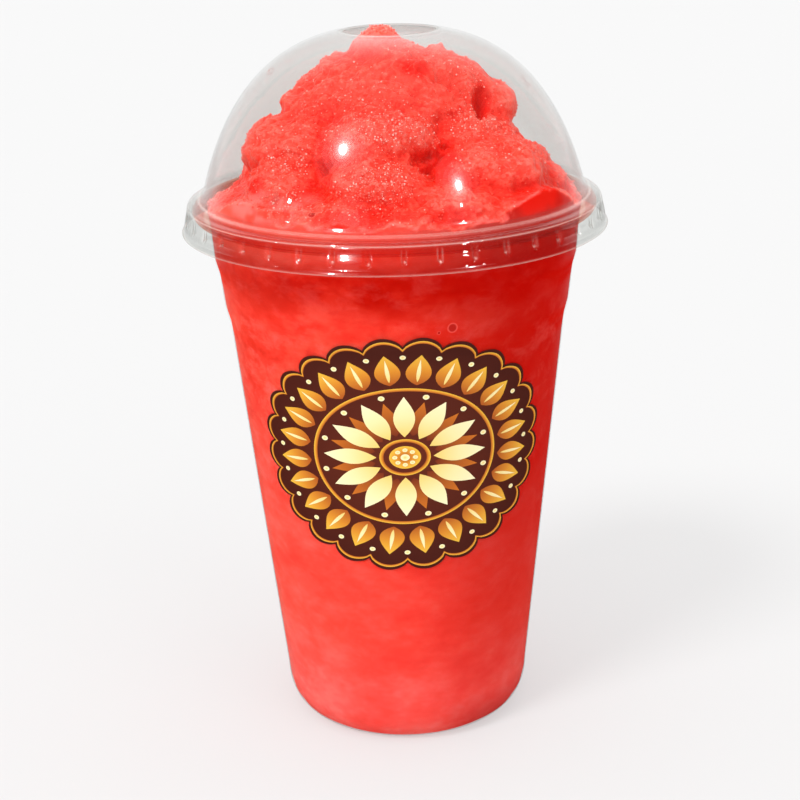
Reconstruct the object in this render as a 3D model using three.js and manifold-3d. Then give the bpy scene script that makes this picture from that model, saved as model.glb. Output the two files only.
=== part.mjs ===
// Strawberry smoothie in a clear plastic cup with a domed lid.
// Three solids, one inside the other: the cup, the lid that rests on its rim, and the frozen drink.
// Millimetres, +Z up. The cup's axis is the Z axis and its foot ring stands on z = 0.
import * as THREE from "three";
import { mergeVertices } from "three/addons/utils/BufferGeometryUtils.js";
import Module from "manifold-3d";

// Facets round the axis, the same on every piece so that the gaps between them stay even
const SEGMENTS = 60;
// Room between pieces that touch on the real thing
const FIT_GAP = 0.3;
// Points closer than this are one point when solids are joined
const MERGE_DISTANCE = 0.001;
// Keeps a division or a logarithm away from zero
const TINY = 1e-12;

// Cup: a thermoformed wall that steps out twice under a rolled rim
const CUP_THICKNESS = 0.5;
const CUP_HEIGHT = 134.2;
const RIM_RADIUS = 49;
const BEAD_WIDTH = 4.2;
const BEAD_HEIGHT = 3.6;
const BEAD_DEGREES = [-120, -60, 0, 60, 120];
const PANEL_RADIUS = 19.5;
const PANEL_RISE = 2.4;
const FOOT_INNER_RADIUS = 21.8;
const FOOT_OUTER_RADIUS = 25.8;
const FOOT_CURVE_WIDTH = 5.6;
const FOOT_CURVE_HEIGHT = 9;
const FOOT_CURVE_STEPS = 4;
const LOWER_STEP = { z: 104.5, radius: 41.3, rise: 3.1, out: 1.0 };
const UPPER_STEP = { z: 117, radius: 43.35, rise: 2.6, out: 0.95 };
const NECK = { z: 130.4, radius: 45.1 };

// Lid: a dome with a hole at its top, a shoulder over the rim and a flared skirt with snap lugs
const LID_THICKNESS = 0.5;
const DOME = { radius: 50.4, centreZ: 90.4, height: 84, power: 2.64, footZ: 136.9 };
const HOLE_RADIUS = 11;
const DOME_STEPS = 9;
const SHOULDER = [
  [46.9, 135.7],
  [48.3, 134.95],
  [49.6, 134.5],
  [50.3, 133.6],
  [50.45, 131.6],
];
const SKIRT = { radius: 51.75, z: 127.5 };
const LUG_COUNT = 40;
// Azimuth of the first lug from the front of the cup, towards +X, in degrees
const LUG_START = 2;
const LUG_WIDTH = 1.2;
const LUG_TOP = [50.05, 132.6];
const LUG_TIP = [48.8, 130.1];
const LUG_FOOT = [50.75, 129.4];

// Drink: fills the cup, then heaps up under the dome in rounded lumps
const NECK_WIDENING = 0.2;
const HEAP_CENTRE_Z = 118;
const HEAP_ROWS = 24;
const HEAP_REACH = 70;
const BLEND = 0.8;
const MARCH_SHARE = 0.7;
const MARCH_STEPS = 90;
const HOLE_EASE_RADIUS = 8.5;
const HOLE_EASE_WIDTH = 1.8;
const HOLE_EASE_RISE = 4;

// Each lump of the heap is an ellipsoid: where its centre is, and its half sizes along X, Y and Z
const LUMPS = {
  summit: { at: [-1, 0, 154.5], half: [24.5, 22, 14] },
  crown: { at: [1, -1, 162], half: [20, 14, 7.5] },
  tip: { at: [-3.2, 0, 166.5], half: [7.2, 7, 8.2] },
  saddle: { at: [5, -2, 166.3], half: [5.5, 4.5, 3.7] },
  rightNub: { at: [10.6, -2, 167.3], half: [3.1, 3.2, 3.2] },
  rightCorner: { at: [14, -2, 158.6], half: [9.4, 11, 7.4] },
  rightEar: { at: [24, -2, 154.8], half: [5.8, 8, 6] },
  leftCorner: { at: [-18, -5, 156.6], half: [8.8, 10, 4.6] },
  leftShoulder: { at: [-22, -12, 147.5], half: [13.8, 14, 9.4] },
  middleRidge: { at: [-3, -18, 149], half: [15, 13, 10] },
  frontLump: { at: [-4, -28, 140.5], half: [12, 11, 9] },
  rightLedge: { at: [16, -12, 150], half: [11, 11, 6.6] },
  rightLump: { at: [21, -16, 142.5], half: [15.5, 16, 9.4] },
  farRightLump: { at: [30.6, -6, 137.6], half: [11.4, 13, 7.6] },
  lowerLeftLump: { at: [-23.4, -18, 140], half: [11.4, 15, 9] },
  pressedRight: { at: [28, -24, 134], half: [14, 16, 7.5] },
  pressedLeft: { at: [-29, -24, 133], half: [14, 16, 7.5] },
  frontFoot: { at: [12, -32, 136], half: [14, 10, 7.5] },
  leftFoot: { at: [-13, -33, 134.5], half: [15, 9, 6] },
  backLump: { at: [0, 18, 147], half: [18, 14, 10] },
  backLeftLump: { at: [-19, 16, 143], half: [14, 14, 9.5] },
  backRightLump: { at: [20, 17, 142], half: [14, 13, 9.5] },
  backFoot: { at: [-6, 28, 137.5], half: [16, 11, 8] },
  leftBackFoot: { at: [-30, 11, 137], half: [9, 12, 6.4] },
  rightBackFoot: { at: [30, 14, 137], half: [10, 12, 6.8] },
  fill: { at: [0, 0, 128], half: [47.5, 48, 15] },
  frontFill: { at: [0, -10, 129], half: [45, 41, 15.5] },
};

// Hollows are ellipsoids taken out of the heap
const HOLLOWS = {
  rightCleft: { at: [20.3, -14, 157.5], half: [2, 6, 6] },
  frontCrease: { at: [9.5, -31, 148], half: [6, 6, 2.4] },
};

// Outline of the cup's wall as [radius, z], from the axis to the neck, moved inwards by inset
function wallOutline(inset) {
  const outline = [
    [0, PANEL_RISE + inset],
    [PANEL_RADIUS, PANEL_RISE + inset],
    [FOOT_INNER_RADIUS, inset],
  ];
  for (let i = 0; i <= FOOT_CURVE_STEPS; i++) {
    const angle = (i / FOOT_CURVE_STEPS) * (Math.PI / 2);
    outline.push([
      FOOT_OUTER_RADIUS + (FOOT_CURVE_WIDTH - inset) * Math.sin(angle),
      inset + (FOOT_CURVE_HEIGHT - inset) * (1 - Math.cos(angle)),
    ]);
  }
  for (const step of [LOWER_STEP, UPPER_STEP]) {
    outline.push([step.radius - inset, step.z]);
    outline.push([step.radius + step.out - inset, step.z + step.rise]);
  }
  outline.push([NECK.radius - inset, NECK.z]);
  return outline;
}

// Section of the rolled rim: an ellipse walked from its underside, round the outside, to its inner top
function beadOutline() {
  const centreRadius = RIM_RADIUS - BEAD_WIDTH / 2;
  const centreZ = CUP_HEIGHT - BEAD_HEIGHT / 2;
  return BEAD_DEGREES.map((degrees) => {
    const angle = THREE.MathUtils.degToRad(degrees);
    return [
      centreRadius + (BEAD_WIDTH / 2) * Math.cos(angle),
      centreZ + (BEAD_HEIGHT / 2) * Math.sin(angle),
    ];
  });
}

// Dome outline from its foot to the hole, on a superellipse moved inwards by inset
function domeOutline(inset) {
  const radius = DOME.radius - inset;
  const height = DOME.height - inset;
  const footSine = ((DOME.footZ - DOME.centreZ) / height) ** (DOME.power / 2);
  const holeCosine = (HOLE_RADIUS / radius) ** (DOME.power / 2);
  const start = Math.asin(footSine);
  const end = Math.acos(holeCosine);
  const outline = [];
  for (let i = 0; i <= DOME_STEPS; i++) {
    const angle = start + ((end - start) * i) / DOME_STEPS;
    outline.push([
      radius * Math.cos(angle) ** (2 / DOME.power),
      DOME.centreZ + height * Math.sin(angle) ** (2 / DOME.power),
    ]);
  }
  return outline;
}

// Turns a closed or axis-to-axis outline about the Z axis
function revolve(outline) {
  const points = outline.map(([radius, z]) => new THREE.Vector2(radius, z));
  return new THREE.LatheGeometry(points, SEGMENTS).rotateX(Math.PI / 2);
}

function cupGeometry() {
  const outside = wallOutline(0);
  const inside = wallOutline(CUP_THICKNESS).reverse();
  return revolve([...outside, ...beadOutline(), ...inside]);
}

function lidShellGeometry() {
  const outside = domeOutline(0);
  const inside = domeOutline(LID_THICKNESS).reverse();
  const shoulderInside = SHOULDER.map(([radius, z]) => [radius - LID_THICKNESS, z - LID_THICKNESS]);
  const outline = [
    [SKIRT.radius, SKIRT.z],
    ...SHOULDER.slice().reverse(),
    ...outside,
    ...inside,
    ...shoulderInside,
    [SKIRT.radius - LID_THICKNESS, SKIRT.z],
  ];
  outline.push(outline[0]);
  return revolve(outline);
}

// One snap lug: a wedge inside the skirt whose lower edge catches under the rim
function lugGeometry(index) {
  const section = new THREE.Shape([LUG_TOP, LUG_TIP, LUG_FOOT].map(([radius, z]) => new THREE.Vector2(radius, z)));
  const wedge = new THREE.ExtrudeGeometry(section, { depth: LUG_WIDTH, bevelEnabled: false });
  wedge.translate(0, 0, -LUG_WIDTH / 2).rotateX(Math.PI / 2);
  return wedge.rotateZ(THREE.MathUtils.degToRad(LUG_START - 90 + (index * 360) / LUG_COUNT));
}

// Distance from a point to an ellipsoid's surface, close to true near it and negative inside
function ellipsoidDistance(point, { at, half }) {
  let nearSquared = 0;
  let slopeSquared = 0;
  for (let axis = 0; axis < 3; axis++) {
    const offset = (point[axis] - at[axis]) / half[axis];
    nearSquared += offset ** 2;
    slopeSquared += (offset / half[axis]) ** 2;
  }
  const near = Math.sqrt(nearSquared);
  return (near * (near - 1)) / Math.sqrt(slopeSquared + TINY);
}

// How far a point is outside the room that the neck, the dome and its hole leave for the drink
function roomDistance([x, y, z]) {
  const inset = LID_THICKNESS + FIT_GAP;
  const fromAxis = Math.hypot(x, y);
  const neckRadius = NECK.radius - CUP_THICKNESS - FIT_GAP + NECK_WIDENING * (z - NECK.z);
  const across = fromAxis / (DOME.radius - inset);
  const up = Math.max(0, z - DOME.centreZ) / (DOME.height - inset);
  const domeShare = (across ** DOME.power + up ** DOME.power) ** (1 / DOME.power);
  const ease = 1 - THREE.MathUtils.smoothstep(fromAxis, HOLE_EASE_RADIUS, HOLE_EASE_RADIUS + HOLE_EASE_WIDTH);
  const domeDistance = (domeShare - 1) * DOME.radius - ease * HOLE_EASE_RISE;
  return Math.max(fromAxis - neckRadius, domeDistance);
}

// Distance to the heap: the lumps flow into each other, the hollows are taken out, the lid holds it in
function heapDistance(point) {
  let sum = 0;
  for (const lump of Object.values(LUMPS)) sum += Math.exp(-ellipsoidDistance(point, lump) / BLEND);
  let distance = -BLEND * Math.log(sum + TINY);
  for (const hollow of Object.values(HOLLOWS)) distance = Math.max(distance, -ellipsoidDistance(point, hollow));
  return Math.max(distance, roomDistance(point));
}

// Point where a ray that comes in towards the heap's centre first meets the heap
function heapPoint(azimuth, elevation) {
  const along = [
    Math.cos(elevation) * Math.cos(azimuth),
    Math.cos(elevation) * Math.sin(azimuth),
    Math.sin(elevation),
  ];
  const pointAt = (reach) => [along[0] * reach, along[1] * reach, HEAP_CENTRE_Z + along[2] * reach];
  let reach = HEAP_REACH;
  for (let i = 0; i < MARCH_STEPS; i++) reach -= MARCH_SHARE * heapDistance(pointAt(reach));
  return pointAt(reach);
}

// Rings of points, one ring per level, closed by a point on the axis at the bottom and at the top
function ringSolid(bottom, rings, top) {
  const positions = [bottom, ...rings.flat(), top].flat();
  const topIndex = 1 + rings.length * SEGMENTS;
  const indices = [];
  const last = rings.length - 1;
  for (let i = 0; i < SEGMENTS; i++) {
    const next = (i + 1) % SEGMENTS;
    indices.push(0, 1 + next, 1 + i);
    for (let row = 0; row < last; row++) {
      const low = 1 + row * SEGMENTS;
      const high = low + SEGMENTS;
      indices.push(low + i, low + next, high + next);
      indices.push(low + i, high + next, high + i);
    }
    indices.push(topIndex, 1 + last * SEGMENTS + i, 1 + last * SEGMENTS + next);
  }
  const geometry = new THREE.BufferGeometry();
  geometry.setAttribute("position", new THREE.Float32BufferAttribute(positions, 3));
  geometry.setIndex(indices);
  geometry.computeVertexNormals();
  return geometry;
}

function smoothieGeometry() {
  const azimuths = Array.from({ length: SEGMENTS }, (_, i) => (i / SEGMENTS) * 2 * Math.PI);
  const [bottom, ...wall] = wallOutline(CUP_THICKNESS + FIT_GAP);
  const rings = wall.map(([radius, z]) => azimuths.map((a) => [radius * Math.cos(a), radius * Math.sin(a), z]));
  const [neckRadius, neckZ] = wall.at(-1);
  const lowest = Math.atan2(neckZ - HEAP_CENTRE_Z, neckRadius);
  for (let row = 1; row < HEAP_ROWS; row++) {
    const elevation = lowest + ((Math.PI / 2 - lowest) * row) / HEAP_ROWS;
    rings.push(azimuths.map((azimuth) => heapPoint(azimuth, elevation)));
  }
  return ringSolid([0, 0, bottom[1]], rings, heapPoint(0, Math.PI / 2));
}

// Joining solids: a closed geometry becomes a manifold, and a manifold a geometry again
const wasm = await Module();
wasm.setup();

function toManifold(geometry) {
  const bare = new THREE.BufferGeometry();
  bare.setAttribute("position", geometry.getAttribute("position"));
  bare.setIndex(geometry.getIndex());
  const merged = mergeVertices(bare, MERGE_DISTANCE);
  return new wasm.Manifold(
    new wasm.Mesh({
      numProp: 3,
      vertProperties: new Float32Array(merged.getAttribute("position").array),
      triVerts: new Uint32Array(merged.getIndex().array),
    }),
  );
}

function toGeometry(manifold) {
  const mesh = manifold.getMesh();
  const geometry = new THREE.BufferGeometry();
  geometry.setAttribute("position", new THREE.Float32BufferAttribute(mesh.vertProperties, 3));
  geometry.setIndex(Array.from(mesh.triVerts));
  geometry.computeVertexNormals();
  return geometry;
}

function lidGeometry() {
  let lid = toManifold(lidShellGeometry());
  for (let i = 0; i < LUG_COUNT; i++) lid = lid.add(toManifold(lugGeometry(i)));
  return toGeometry(lid);
}

// Finishes
const clearPlastic = { color: 0xf4f6f6, roughness: 0.06, metalness: 0, transparent: true, opacity: 0.3 };
const cupMaterial = new THREE.MeshStandardMaterial(clearPlastic);
const lidMaterial = new THREE.MeshStandardMaterial(clearPlastic);
const smoothieMaterial = new THREE.MeshStandardMaterial({ color: 0xf5413a, roughness: 0.35, metalness: 0 });

function piece(name, geometry, material) {
  const mesh = new THREE.Mesh(geometry, material);
  mesh.name = name;
  return mesh;
}

const group = new THREE.Group();
group.add(piece("cup", cupGeometry(), cupMaterial));
group.add(piece("lid", lidGeometry(), lidMaterial));
group.add(piece("smoothie", smoothieGeometry(), smoothieMaterial));

export default group;
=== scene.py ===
# %% [markdown]
# # A frozen strawberry drink under a clear dome
#
# The real thing is a clear takeaway cup, thermoformed from PET, with a domed lid snapped over its rolled rim.
# It is filled with red crushed ice that heaps up under the dome until its tip stands in the hole.
# This lesson dresses a fixed frame of three plain solids, named `cup`, `lid` and `smoothie`.
# Every shape is worked out with numpy as a surface on a grid, and every finish is made of shader nodes.

import bpy
import numpy as np
from mathutils import Matrix


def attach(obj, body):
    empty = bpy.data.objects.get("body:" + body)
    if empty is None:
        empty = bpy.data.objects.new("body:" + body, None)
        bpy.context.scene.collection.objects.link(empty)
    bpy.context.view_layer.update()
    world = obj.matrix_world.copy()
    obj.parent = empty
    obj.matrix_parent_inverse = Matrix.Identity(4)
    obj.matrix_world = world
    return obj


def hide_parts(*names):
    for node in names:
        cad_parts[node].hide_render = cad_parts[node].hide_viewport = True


MM = 0.001
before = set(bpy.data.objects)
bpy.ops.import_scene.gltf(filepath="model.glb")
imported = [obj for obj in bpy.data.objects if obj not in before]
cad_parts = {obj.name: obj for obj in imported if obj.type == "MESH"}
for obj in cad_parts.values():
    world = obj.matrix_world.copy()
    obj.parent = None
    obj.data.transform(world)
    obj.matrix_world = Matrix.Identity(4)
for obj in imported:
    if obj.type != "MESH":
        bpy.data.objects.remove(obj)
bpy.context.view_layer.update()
print("frame nodes:", sorted(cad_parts))

# %% [markdown]
# ## Small helpers
#
# A finish can be wired by hand in the node editor, or written down as a script that adds one node after the
# other. The script is chosen because it gives the same finish in each run and its numbers can be named.
# Blender keeps colours as linear light, while a colour listed here is an sRGB hex value, so one function
# turns one into the other. One more adds a node with its settings and links, which keeps each finish short.


# %% Helpers for colours and nodes
def colour(hex_text):
    """Linear RGBA from an sRGB hex colour: low values are divided by 12.92, the others take the 2.4 power."""
    channels = np.array([int(hex_text[i : i + 2], 16) / 255 for i in (1, 3, 5)])
    linear = np.where(channels <= 0.04045, channels / 12.92, ((channels + 0.055) / 1.055) ** 2.4)
    return (*linear.tolist(), 1.0)


def add_node(tree, kind, inputs=None, **settings):
    """Adds a node. Among its inputs a socket is linked, a node stands for its first output, a text is a hex
    colour, and anything else becomes that input's value."""
    node = tree.nodes.new("ShaderNode" + kind)
    for name, value in settings.items():
        setattr(node, name, value)
    for name, value in (inputs or {}).items():
        if isinstance(value, bpy.types.Node):
            value = value.outputs[0]
        if isinstance(value, bpy.types.NodeSocket):
            tree.links.new(value, node.inputs[name])
        else:
            node.inputs[name].default_value = colour(value) if isinstance(value, str) else value
    return node


def new_material(name):
    """An empty node material. Returns the material and its tree."""
    material = bpy.data.materials.new(name)
    material.use_nodes = True
    material.node_tree.nodes.clear()
    return material, material.node_tree


def place_in(tree):
    """A point's place on the object in metres, and its X, Y and Z by themselves."""
    place = add_node(tree, "TexCoord").outputs["Object"]
    return place, *add_node(tree, "SeparateXYZ", {"Vector": place}).outputs


def paint_over(tree, skin, layers):
    """Lays colours over a skin. A layer is a share, 0 to leave what is below and 1 to hide it, and a colour."""
    for share, shade in layers:
        skin = add_node(tree, "Mix", {0: share, 6: skin, 7: shade}, data_type="RGBA").outputs[2]
    return skin


print("a strawberry red in linear light:", [round(c, 3) for c in colour("#F9382B")])

# %% [markdown]
# ## From arrays to meshes
#
# A body of revolution, a heap and a flat ornament are all grids of points with a row and a column number.
# Joining each point to its neighbours in both directions gives the faces, without a loop over vertices.
# A row that shrinks to the axis is closed by a fan of triangles round one pole point. Modifiers could round
# and thicken a rough mesh instead, but worked-out points give each face the size that its place needs.


# %% Helpers for meshes
def grid_faces(rows, columns, wrap_rows=False, wrap_columns=True):
    """Quads between neighbours of a grid. They face out where rows climb and columns run anticlockwise."""
    row = np.arange(rows if wrap_rows else rows - 1)
    column = np.arange(columns if wrap_columns else columns - 1)
    row, column = np.meshgrid(row, column, indexing="ij")
    above = (row + 1) % rows
    beside = (column + 1) % columns
    below, over = row * columns, above * columns
    return np.stack([below + column, below + beside, over + beside, over + column], axis=-1).reshape(-1, 4)


def fan_faces(ring_start, columns, pole, outward_up):
    """Triangles from one ring of points to a pole."""
    first = ring_start + np.arange(columns)
    second = ring_start + (np.arange(columns) + 1) % columns
    ends = (first, second) if outward_up else (second, first)
    return np.stack([*ends, np.full(columns, pole)], axis=-1)


def closed_skin(rings, low_pole, high_pole):
    """Points and faces of a skin of climbing rings, closed at both ends by a fan round a pole."""
    rows, columns = rings.shape[:2]
    count = rows * columns
    faces = [
        grid_faces(rows, columns),
        fan_faces(0, columns, count, outward_up=False),
        fan_faces(count - columns, columns, count + 1, outward_up=True),
    ]
    return np.vstack([rings.reshape(-1, 3), low_pole, high_pole]), faces


def add_piece(name, points, face_sets, material):
    """A mesh from points in metres and faces. It rides on the only body, and the slot names its finish."""
    mesh = bpy.data.meshes.new(name)
    faces = [face for face_set in face_sets for face in face_set.tolist()]
    mesh.from_pydata(points.reshape(-1, 3).tolist(), [], faces)
    mesh.shade_smooth()
    mesh.materials.append(material)
    piece = bpy.data.objects.new(name, mesh)
    bpy.context.scene.collection.objects.link(piece)
    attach(piece, "root")
    triangles = sum((face_set.shape[1] - 2) * len(face_set) for face_set in face_sets)
    print(name, "has", triangles, "triangles")
    return piece


def add_values(piece, name, values):
    """Stores one number for each point of a mesh, for its material to read."""
    attribute = piece.data.attributes.new(name, "FLOAT", "POINT")
    attribute.data.foreach_set("value", np.ascontiguousarray(values, np.float32).ravel())


def smoothstep(low, high, value):
    """0 below low, 1 above high, and the smooth cubic 3t^2 - 2t^3 between them."""
    share = np.clip((value - low) / (high - low), 0, 1)
    return share * share * (3 - 2 * share)


print("a ring of 4 columns and 3 rows has", len(grid_faces(3, 4)), "faces")

# %% [markdown]
# ## The camera
#
# The picture was taken from a little over 40 cm away and from just above the dome, with the camera tipped
# down and turned a little about its line of sight. A camera can be aimed by eye in the viewport, but these
# values were fitted to the outline of the cup, which gives the right perspective. They place the camera
# before anything else is made.

# %% Camera
CAMERA_DISTANCE = 413.8 * MM
CAMERA_HEIGHT = 225.6 * MM
CAMERA_PITCH = np.radians(19.25)
CAMERA_ROLL = np.radians(1.64)
CAMERA_LENS = 77.8

camera_data = bpy.data.cameras.new("camera")
camera_data.lens = CAMERA_LENS
camera_data.sensor_width = 36
camera_data.clip_start = 0.01
camera = bpy.data.objects.new("camera", camera_data)
camera.matrix_world = (
    Matrix.Translation((0, -CAMERA_DISTANCE, CAMERA_HEIGHT))
    @ Matrix.Rotation(np.pi / 2 - CAMERA_PITCH, 4, "X")
    @ Matrix.Rotation(-CAMERA_ROLL, 4, "Z")
)
bpy.context.scene.collection.objects.link(camera)
bpy.context.scene.camera = camera
print("camera stands", CAMERA_DISTANCE, "m in front and", CAMERA_HEIGHT, "m up")

# %% [markdown]
# ## Outlines that turn corners softly
#
# Thermoformed plastic has no sharp corner: the warm sheet bends round each edge of its mould.
# A bevel would need a radius for each edge. Instead an outline is written with plain corners, then walked in
# fine steps and averaged with its neighbours, which rounds each corner by about the width of the average. In
# the end only some of the points are kept, close together where it bends and far apart where it is straight.

# %% Outline tools
FINE_STEP = 0.05 * MM
BELL_REACH = 2.5
BEND_WEIGHT = 6 * MM


def walk(path, step=FINE_STEP):
    """Points at equal steps of length along a path of straight lines."""
    lengths = np.concatenate([[0], np.cumsum(np.hypot(*np.diff(path, axis=0).T))])
    count = int(lengths[-1] / step) + 1
    places = np.linspace(0, lengths[-1], count)
    return np.stack([np.interp(places, lengths, path[:, axis]) for axis in (0, 1)], axis=1)


def rounded(path, width):
    """The path with rounded corners: each point becomes a bell-weighted mean of those within width of it."""
    fine = walk(np.asarray(path, float))
    reach = int(width / FINE_STEP)
    weights = np.exp(-0.5 * np.linspace(-BELL_REACH, BELL_REACH, 2 * reach + 1) ** 2)
    weights /= weights.sum()
    before = 2 * fine[0] - fine[reach:0:-1]
    after = 2 * fine[-1] - fine[-2 : -reach - 2 : -1]
    padded = np.concatenate([before, fine, after])
    return np.stack([np.convolve(padded[:, axis], weights, "valid") for axis in (0, 1)], axis=1)


def thin_out(path, count, bend_weight=BEND_WEIGHT):
    """Keeps count points at equal steps of length plus bend_weight times the angle turned."""
    steps = np.diff(path, axis=0)
    angles = np.unwrap(np.arctan2(steps[:, 1], steps[:, 0]))
    turning = np.abs(np.diff(angles, prepend=angles[0]))
    effort = np.concatenate([[0], np.cumsum(np.hypot(*steps.T) + bend_weight * turning)])
    places = np.linspace(0, effort[-1], count)
    return np.stack([np.interp(places, effort, path[:, axis]) for axis in (0, 1)], axis=1)


def turn(path, azimuths):
    """Turns [radius, height] points round the Z axis: x, y are the radius times the azimuth's cos and sin."""
    radius, height = path[:, 0, None], path[:, 1, None]
    return np.stack([radius * np.cos(azimuths), radius * np.sin(azimuths), height + 0 * azimuths], axis=-1)


square = rounded(np.array([[0, 0], [10, 0], [10, 10]]) * MM, 2 * MM)
cut_back = np.hypot(*(square - [10 * MM, 0]).T).min()
print("a square corner rounded over 2 mm is cut back by", round(cut_back / MM, 2), "mm")

# %% [markdown]
# ## The cup's outline
#
# Such a cup tapers so that it comes off its mould and stacks. Its foot curves in to a narrow ring, with a
# raised panel inside that, and near the top the wall steps outwards twice. The numbers are the frame's own,
# because the finer cup has to stand exactly where the solid one does. They could be read from its mesh, but
# as a list they say what each size is.

# %% Sizes of the cup, the same as in the frame
CUP_THICKNESS = 0.5 * MM
CUP_HEIGHT = 134.2 * MM
RIM_RADIUS = 49 * MM
BEAD_WIDTH = 4.2 * MM
BEAD_HEIGHT = 3.6 * MM
PANEL_RADIUS = 19.5 * MM
PANEL_RISE = 2.4 * MM
FOOT_INNER_RADIUS = 21.8 * MM
FOOT_OUTER_RADIUS = 25.8 * MM
FOOT_CURVE_WIDTH = 5.6 * MM
FOOT_CURVE_HEIGHT = 9 * MM
FOOT_POINTS = 24
STEPS = np.array([[41.3, 104.5], [42.3, 107.6], [43.35, 117], [44.3, 119.6]]) * MM
NECK = np.array([45.1, 130.4]) * MM


def wall_outline(inset):
    """The cup's wall from the axis to the neck, moved inwards by inset. The foot is a quarter of an ellipse."""
    angle = np.linspace(0, np.pi / 2, FOOT_POINTS)
    panel = np.array([[0, PANEL_RISE + inset], [PANEL_RADIUS, PANEL_RISE + inset], [FOOT_INNER_RADIUS, inset]])
    foot = np.stack(
        [
            FOOT_OUTER_RADIUS + (FOOT_CURVE_WIDTH - inset) * np.sin(angle),
            inset + (FOOT_CURVE_HEIGHT - inset) * (1 - np.cos(angle)),
        ],
        axis=1,
    )
    upper = np.vstack([STEPS, NECK]) - [inset, 0]
    return np.vstack([panel, foot, upper])


WALL_ROUNDING = 1.6 * MM
WALL_ROWS = 110
outside_wall = thin_out(rounded(wall_outline(0), WALL_ROUNDING), WALL_ROWS)
climbing_wall = outside_wall[np.argmin(outside_wall[:, 1]) + 1 :]


def wall_radius(height):
    """Radius of the outside of the wall at a height above the foot."""
    return np.interp(height, climbing_wall[:, 1], climbing_wall[:, 0])


print("the wall is", round(wall_radius(84 * MM) / MM, 1), "mm from the axis 84 mm above the foot")

# %% [markdown]
# ## Clear PET
#
# The cup and its lid are shells of thin clear sheet with two faces. A glass shader bends each ray at each
# face, which costs many bounces, though so thin a sheet hardly bends what is behind it. What the eye sees is
# its shine: each face mirrors a twentieth of the light when looked at squarely, and nearly all of it along
# its edges. So each face is a tinted window with a mirror whose share grows with the fifth power of how
# edge-on it stands. It casts no shadow and holds no light back from the drink.
# The tints are slight. The dome and the skirt turn greyer where they are looked along, a painted shade for the
# darker room that an edge-on sheet mirrors, and the cup's hollow rim is tinted with a painted reflection of the
# drink's red.
# Two numbers on each point change that finish in places. `soft` is how much of the shine is gone, where the
# sheet is rolled or dimpled and blurred. The other is the share of a painted pale light, pink near the drink as
# a painted reflection of its red, along the sheet's cut ends and its tightest bends, where the sheet carries
# light.


# %% Tints and shine of clear sheet
SQUARE_SHINE = 0.05
GRAZING_POWER = 5.0
FILM = "#FDFDFD"
LID_FILM = "#FAFAF9"
# painted shade: the grey that the dome and the skirt take on where they are looked along
PAINTED_EDGE_SHADE = "#C2C6C1"
DOME_EDGE = 0.12
SKIRT_EDGE = 0.45
SKIRT_LEVELS = (134.2 * MM, 132.8 * MM)
# painted reflection: the drink's red, which the cup's hollow rim carries round it
RIM_PAINTED_DRINK_RED = "#F7CEC2"
RIM_LEVELS = (128 * MM, 131 * MM)
# painted light: pale lines where the sheet carries light, pink as a painted reflection of the drink
PAINTED_LIGHT_PINK = "#FFCABE"
PAINTED_LIGHT_PLAIN = "#EDEAE6"
PAINTED_LIGHT_LEVELS = (140 * MM, 155 * MM)
PAINTED_LIGHT_SIDES = (38 * MM, 48 * MM)


def edge_on(tree):
    """How edge-on a face stands, from 0 when looked at squarely to 1 along it, and the fifth power of that."""
    facing = add_node(tree, "LayerWeight", {"Blend": 0.5}).outputs["Facing"]
    return facing, add_node(tree, "Math", {0: facing, 1: GRAZING_POWER}, operation="POWER")


def mirror_share(tree, shine):
    """Schlick's curve: s + (1 - s) (1 - cosine)^5, times the sheet's shine and what softness leaves of it."""
    grazing = edge_on(tree)[1]
    full = add_node(tree, "MapRange", {"Value": grazing, 3: SQUARE_SHINE * shine, 4: shine})
    soft = add_node(tree, "Attribute", attribute_name="soft").outputs["Fac"]
    kept = add_node(tree, "Math", {0: 1.0, 1: soft}, operation="SUBTRACT")
    return add_node(tree, "Math", {0: full, 1: kept}, operation="MULTIPLY")


def painted_light_tone(tree):
    """The tone of the painted light: pink round the drink, as a painted reflection of its red, and plain high
    on the dome and far out on both sides.
    """
    _, right, _, height = place_in(tree)
    aside = add_node(tree, "Math", {0: right}, operation="ABSOLUTE")
    above = add_node(tree, "MapRange", {"Value": height, 1: PAINTED_LIGHT_LEVELS[0], 2: PAINTED_LIGHT_LEVELS[1]})
    beyond = add_node(tree, "MapRange", {"Value": aside, 1: PAINTED_LIGHT_SIDES[0], 2: PAINTED_LIGHT_SIDES[1]})
    plain = add_node(tree, "Math", {0: above, 1: beyond}, operation="MAXIMUM")
    return paint_over(tree, PAINTED_LIGHT_PINK, [(plain, PAINTED_LIGHT_PLAIN)])


def lid_tint_with_painted_edge_shade(tree):
    """Painted shade for the darker room that a sheet mirrors when it is looked along: on the dome by the fifth
    power of how edge-on it is, and on the skirt in plain proportion to it."""
    facing, grazing = edge_on(tree)
    height = place_in(tree)[3]
    low = {"Value": height, 1: SKIRT_LEVELS[0], 2: SKIRT_LEVELS[1], 4: SKIRT_EDGE}
    even = add_node(tree, "Math", {0: facing, 1: add_node(tree, "MapRange", low)}, operation="MULTIPLY")
    slight = add_node(tree, "Math", {0: grazing, 1: DOME_EDGE}, operation="MULTIPLY")
    share = add_node(tree, "Math", {0: slight, 1: even}, operation="MAXIMUM")
    return paint_over(tree, LID_FILM, [(share, PAINTED_EDGE_SHADE)])


def cup_tint_with_painted_rim_red(tree):
    """The cup is clear, and its hollow rim is tinted with a painted reflection of the drink's red."""
    height = place_in(tree)[3]
    rim = add_node(tree, "MapRange", {"Value": height, 1: RIM_LEVELS[0], 2: RIM_LEVELS[1]})
    return paint_over(tree, FILM, [(rim, RIM_PAINTED_DRINK_RED)])


print("a sheet mirrors", SQUARE_SHINE, "of the light when it is looked at squarely")

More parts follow.
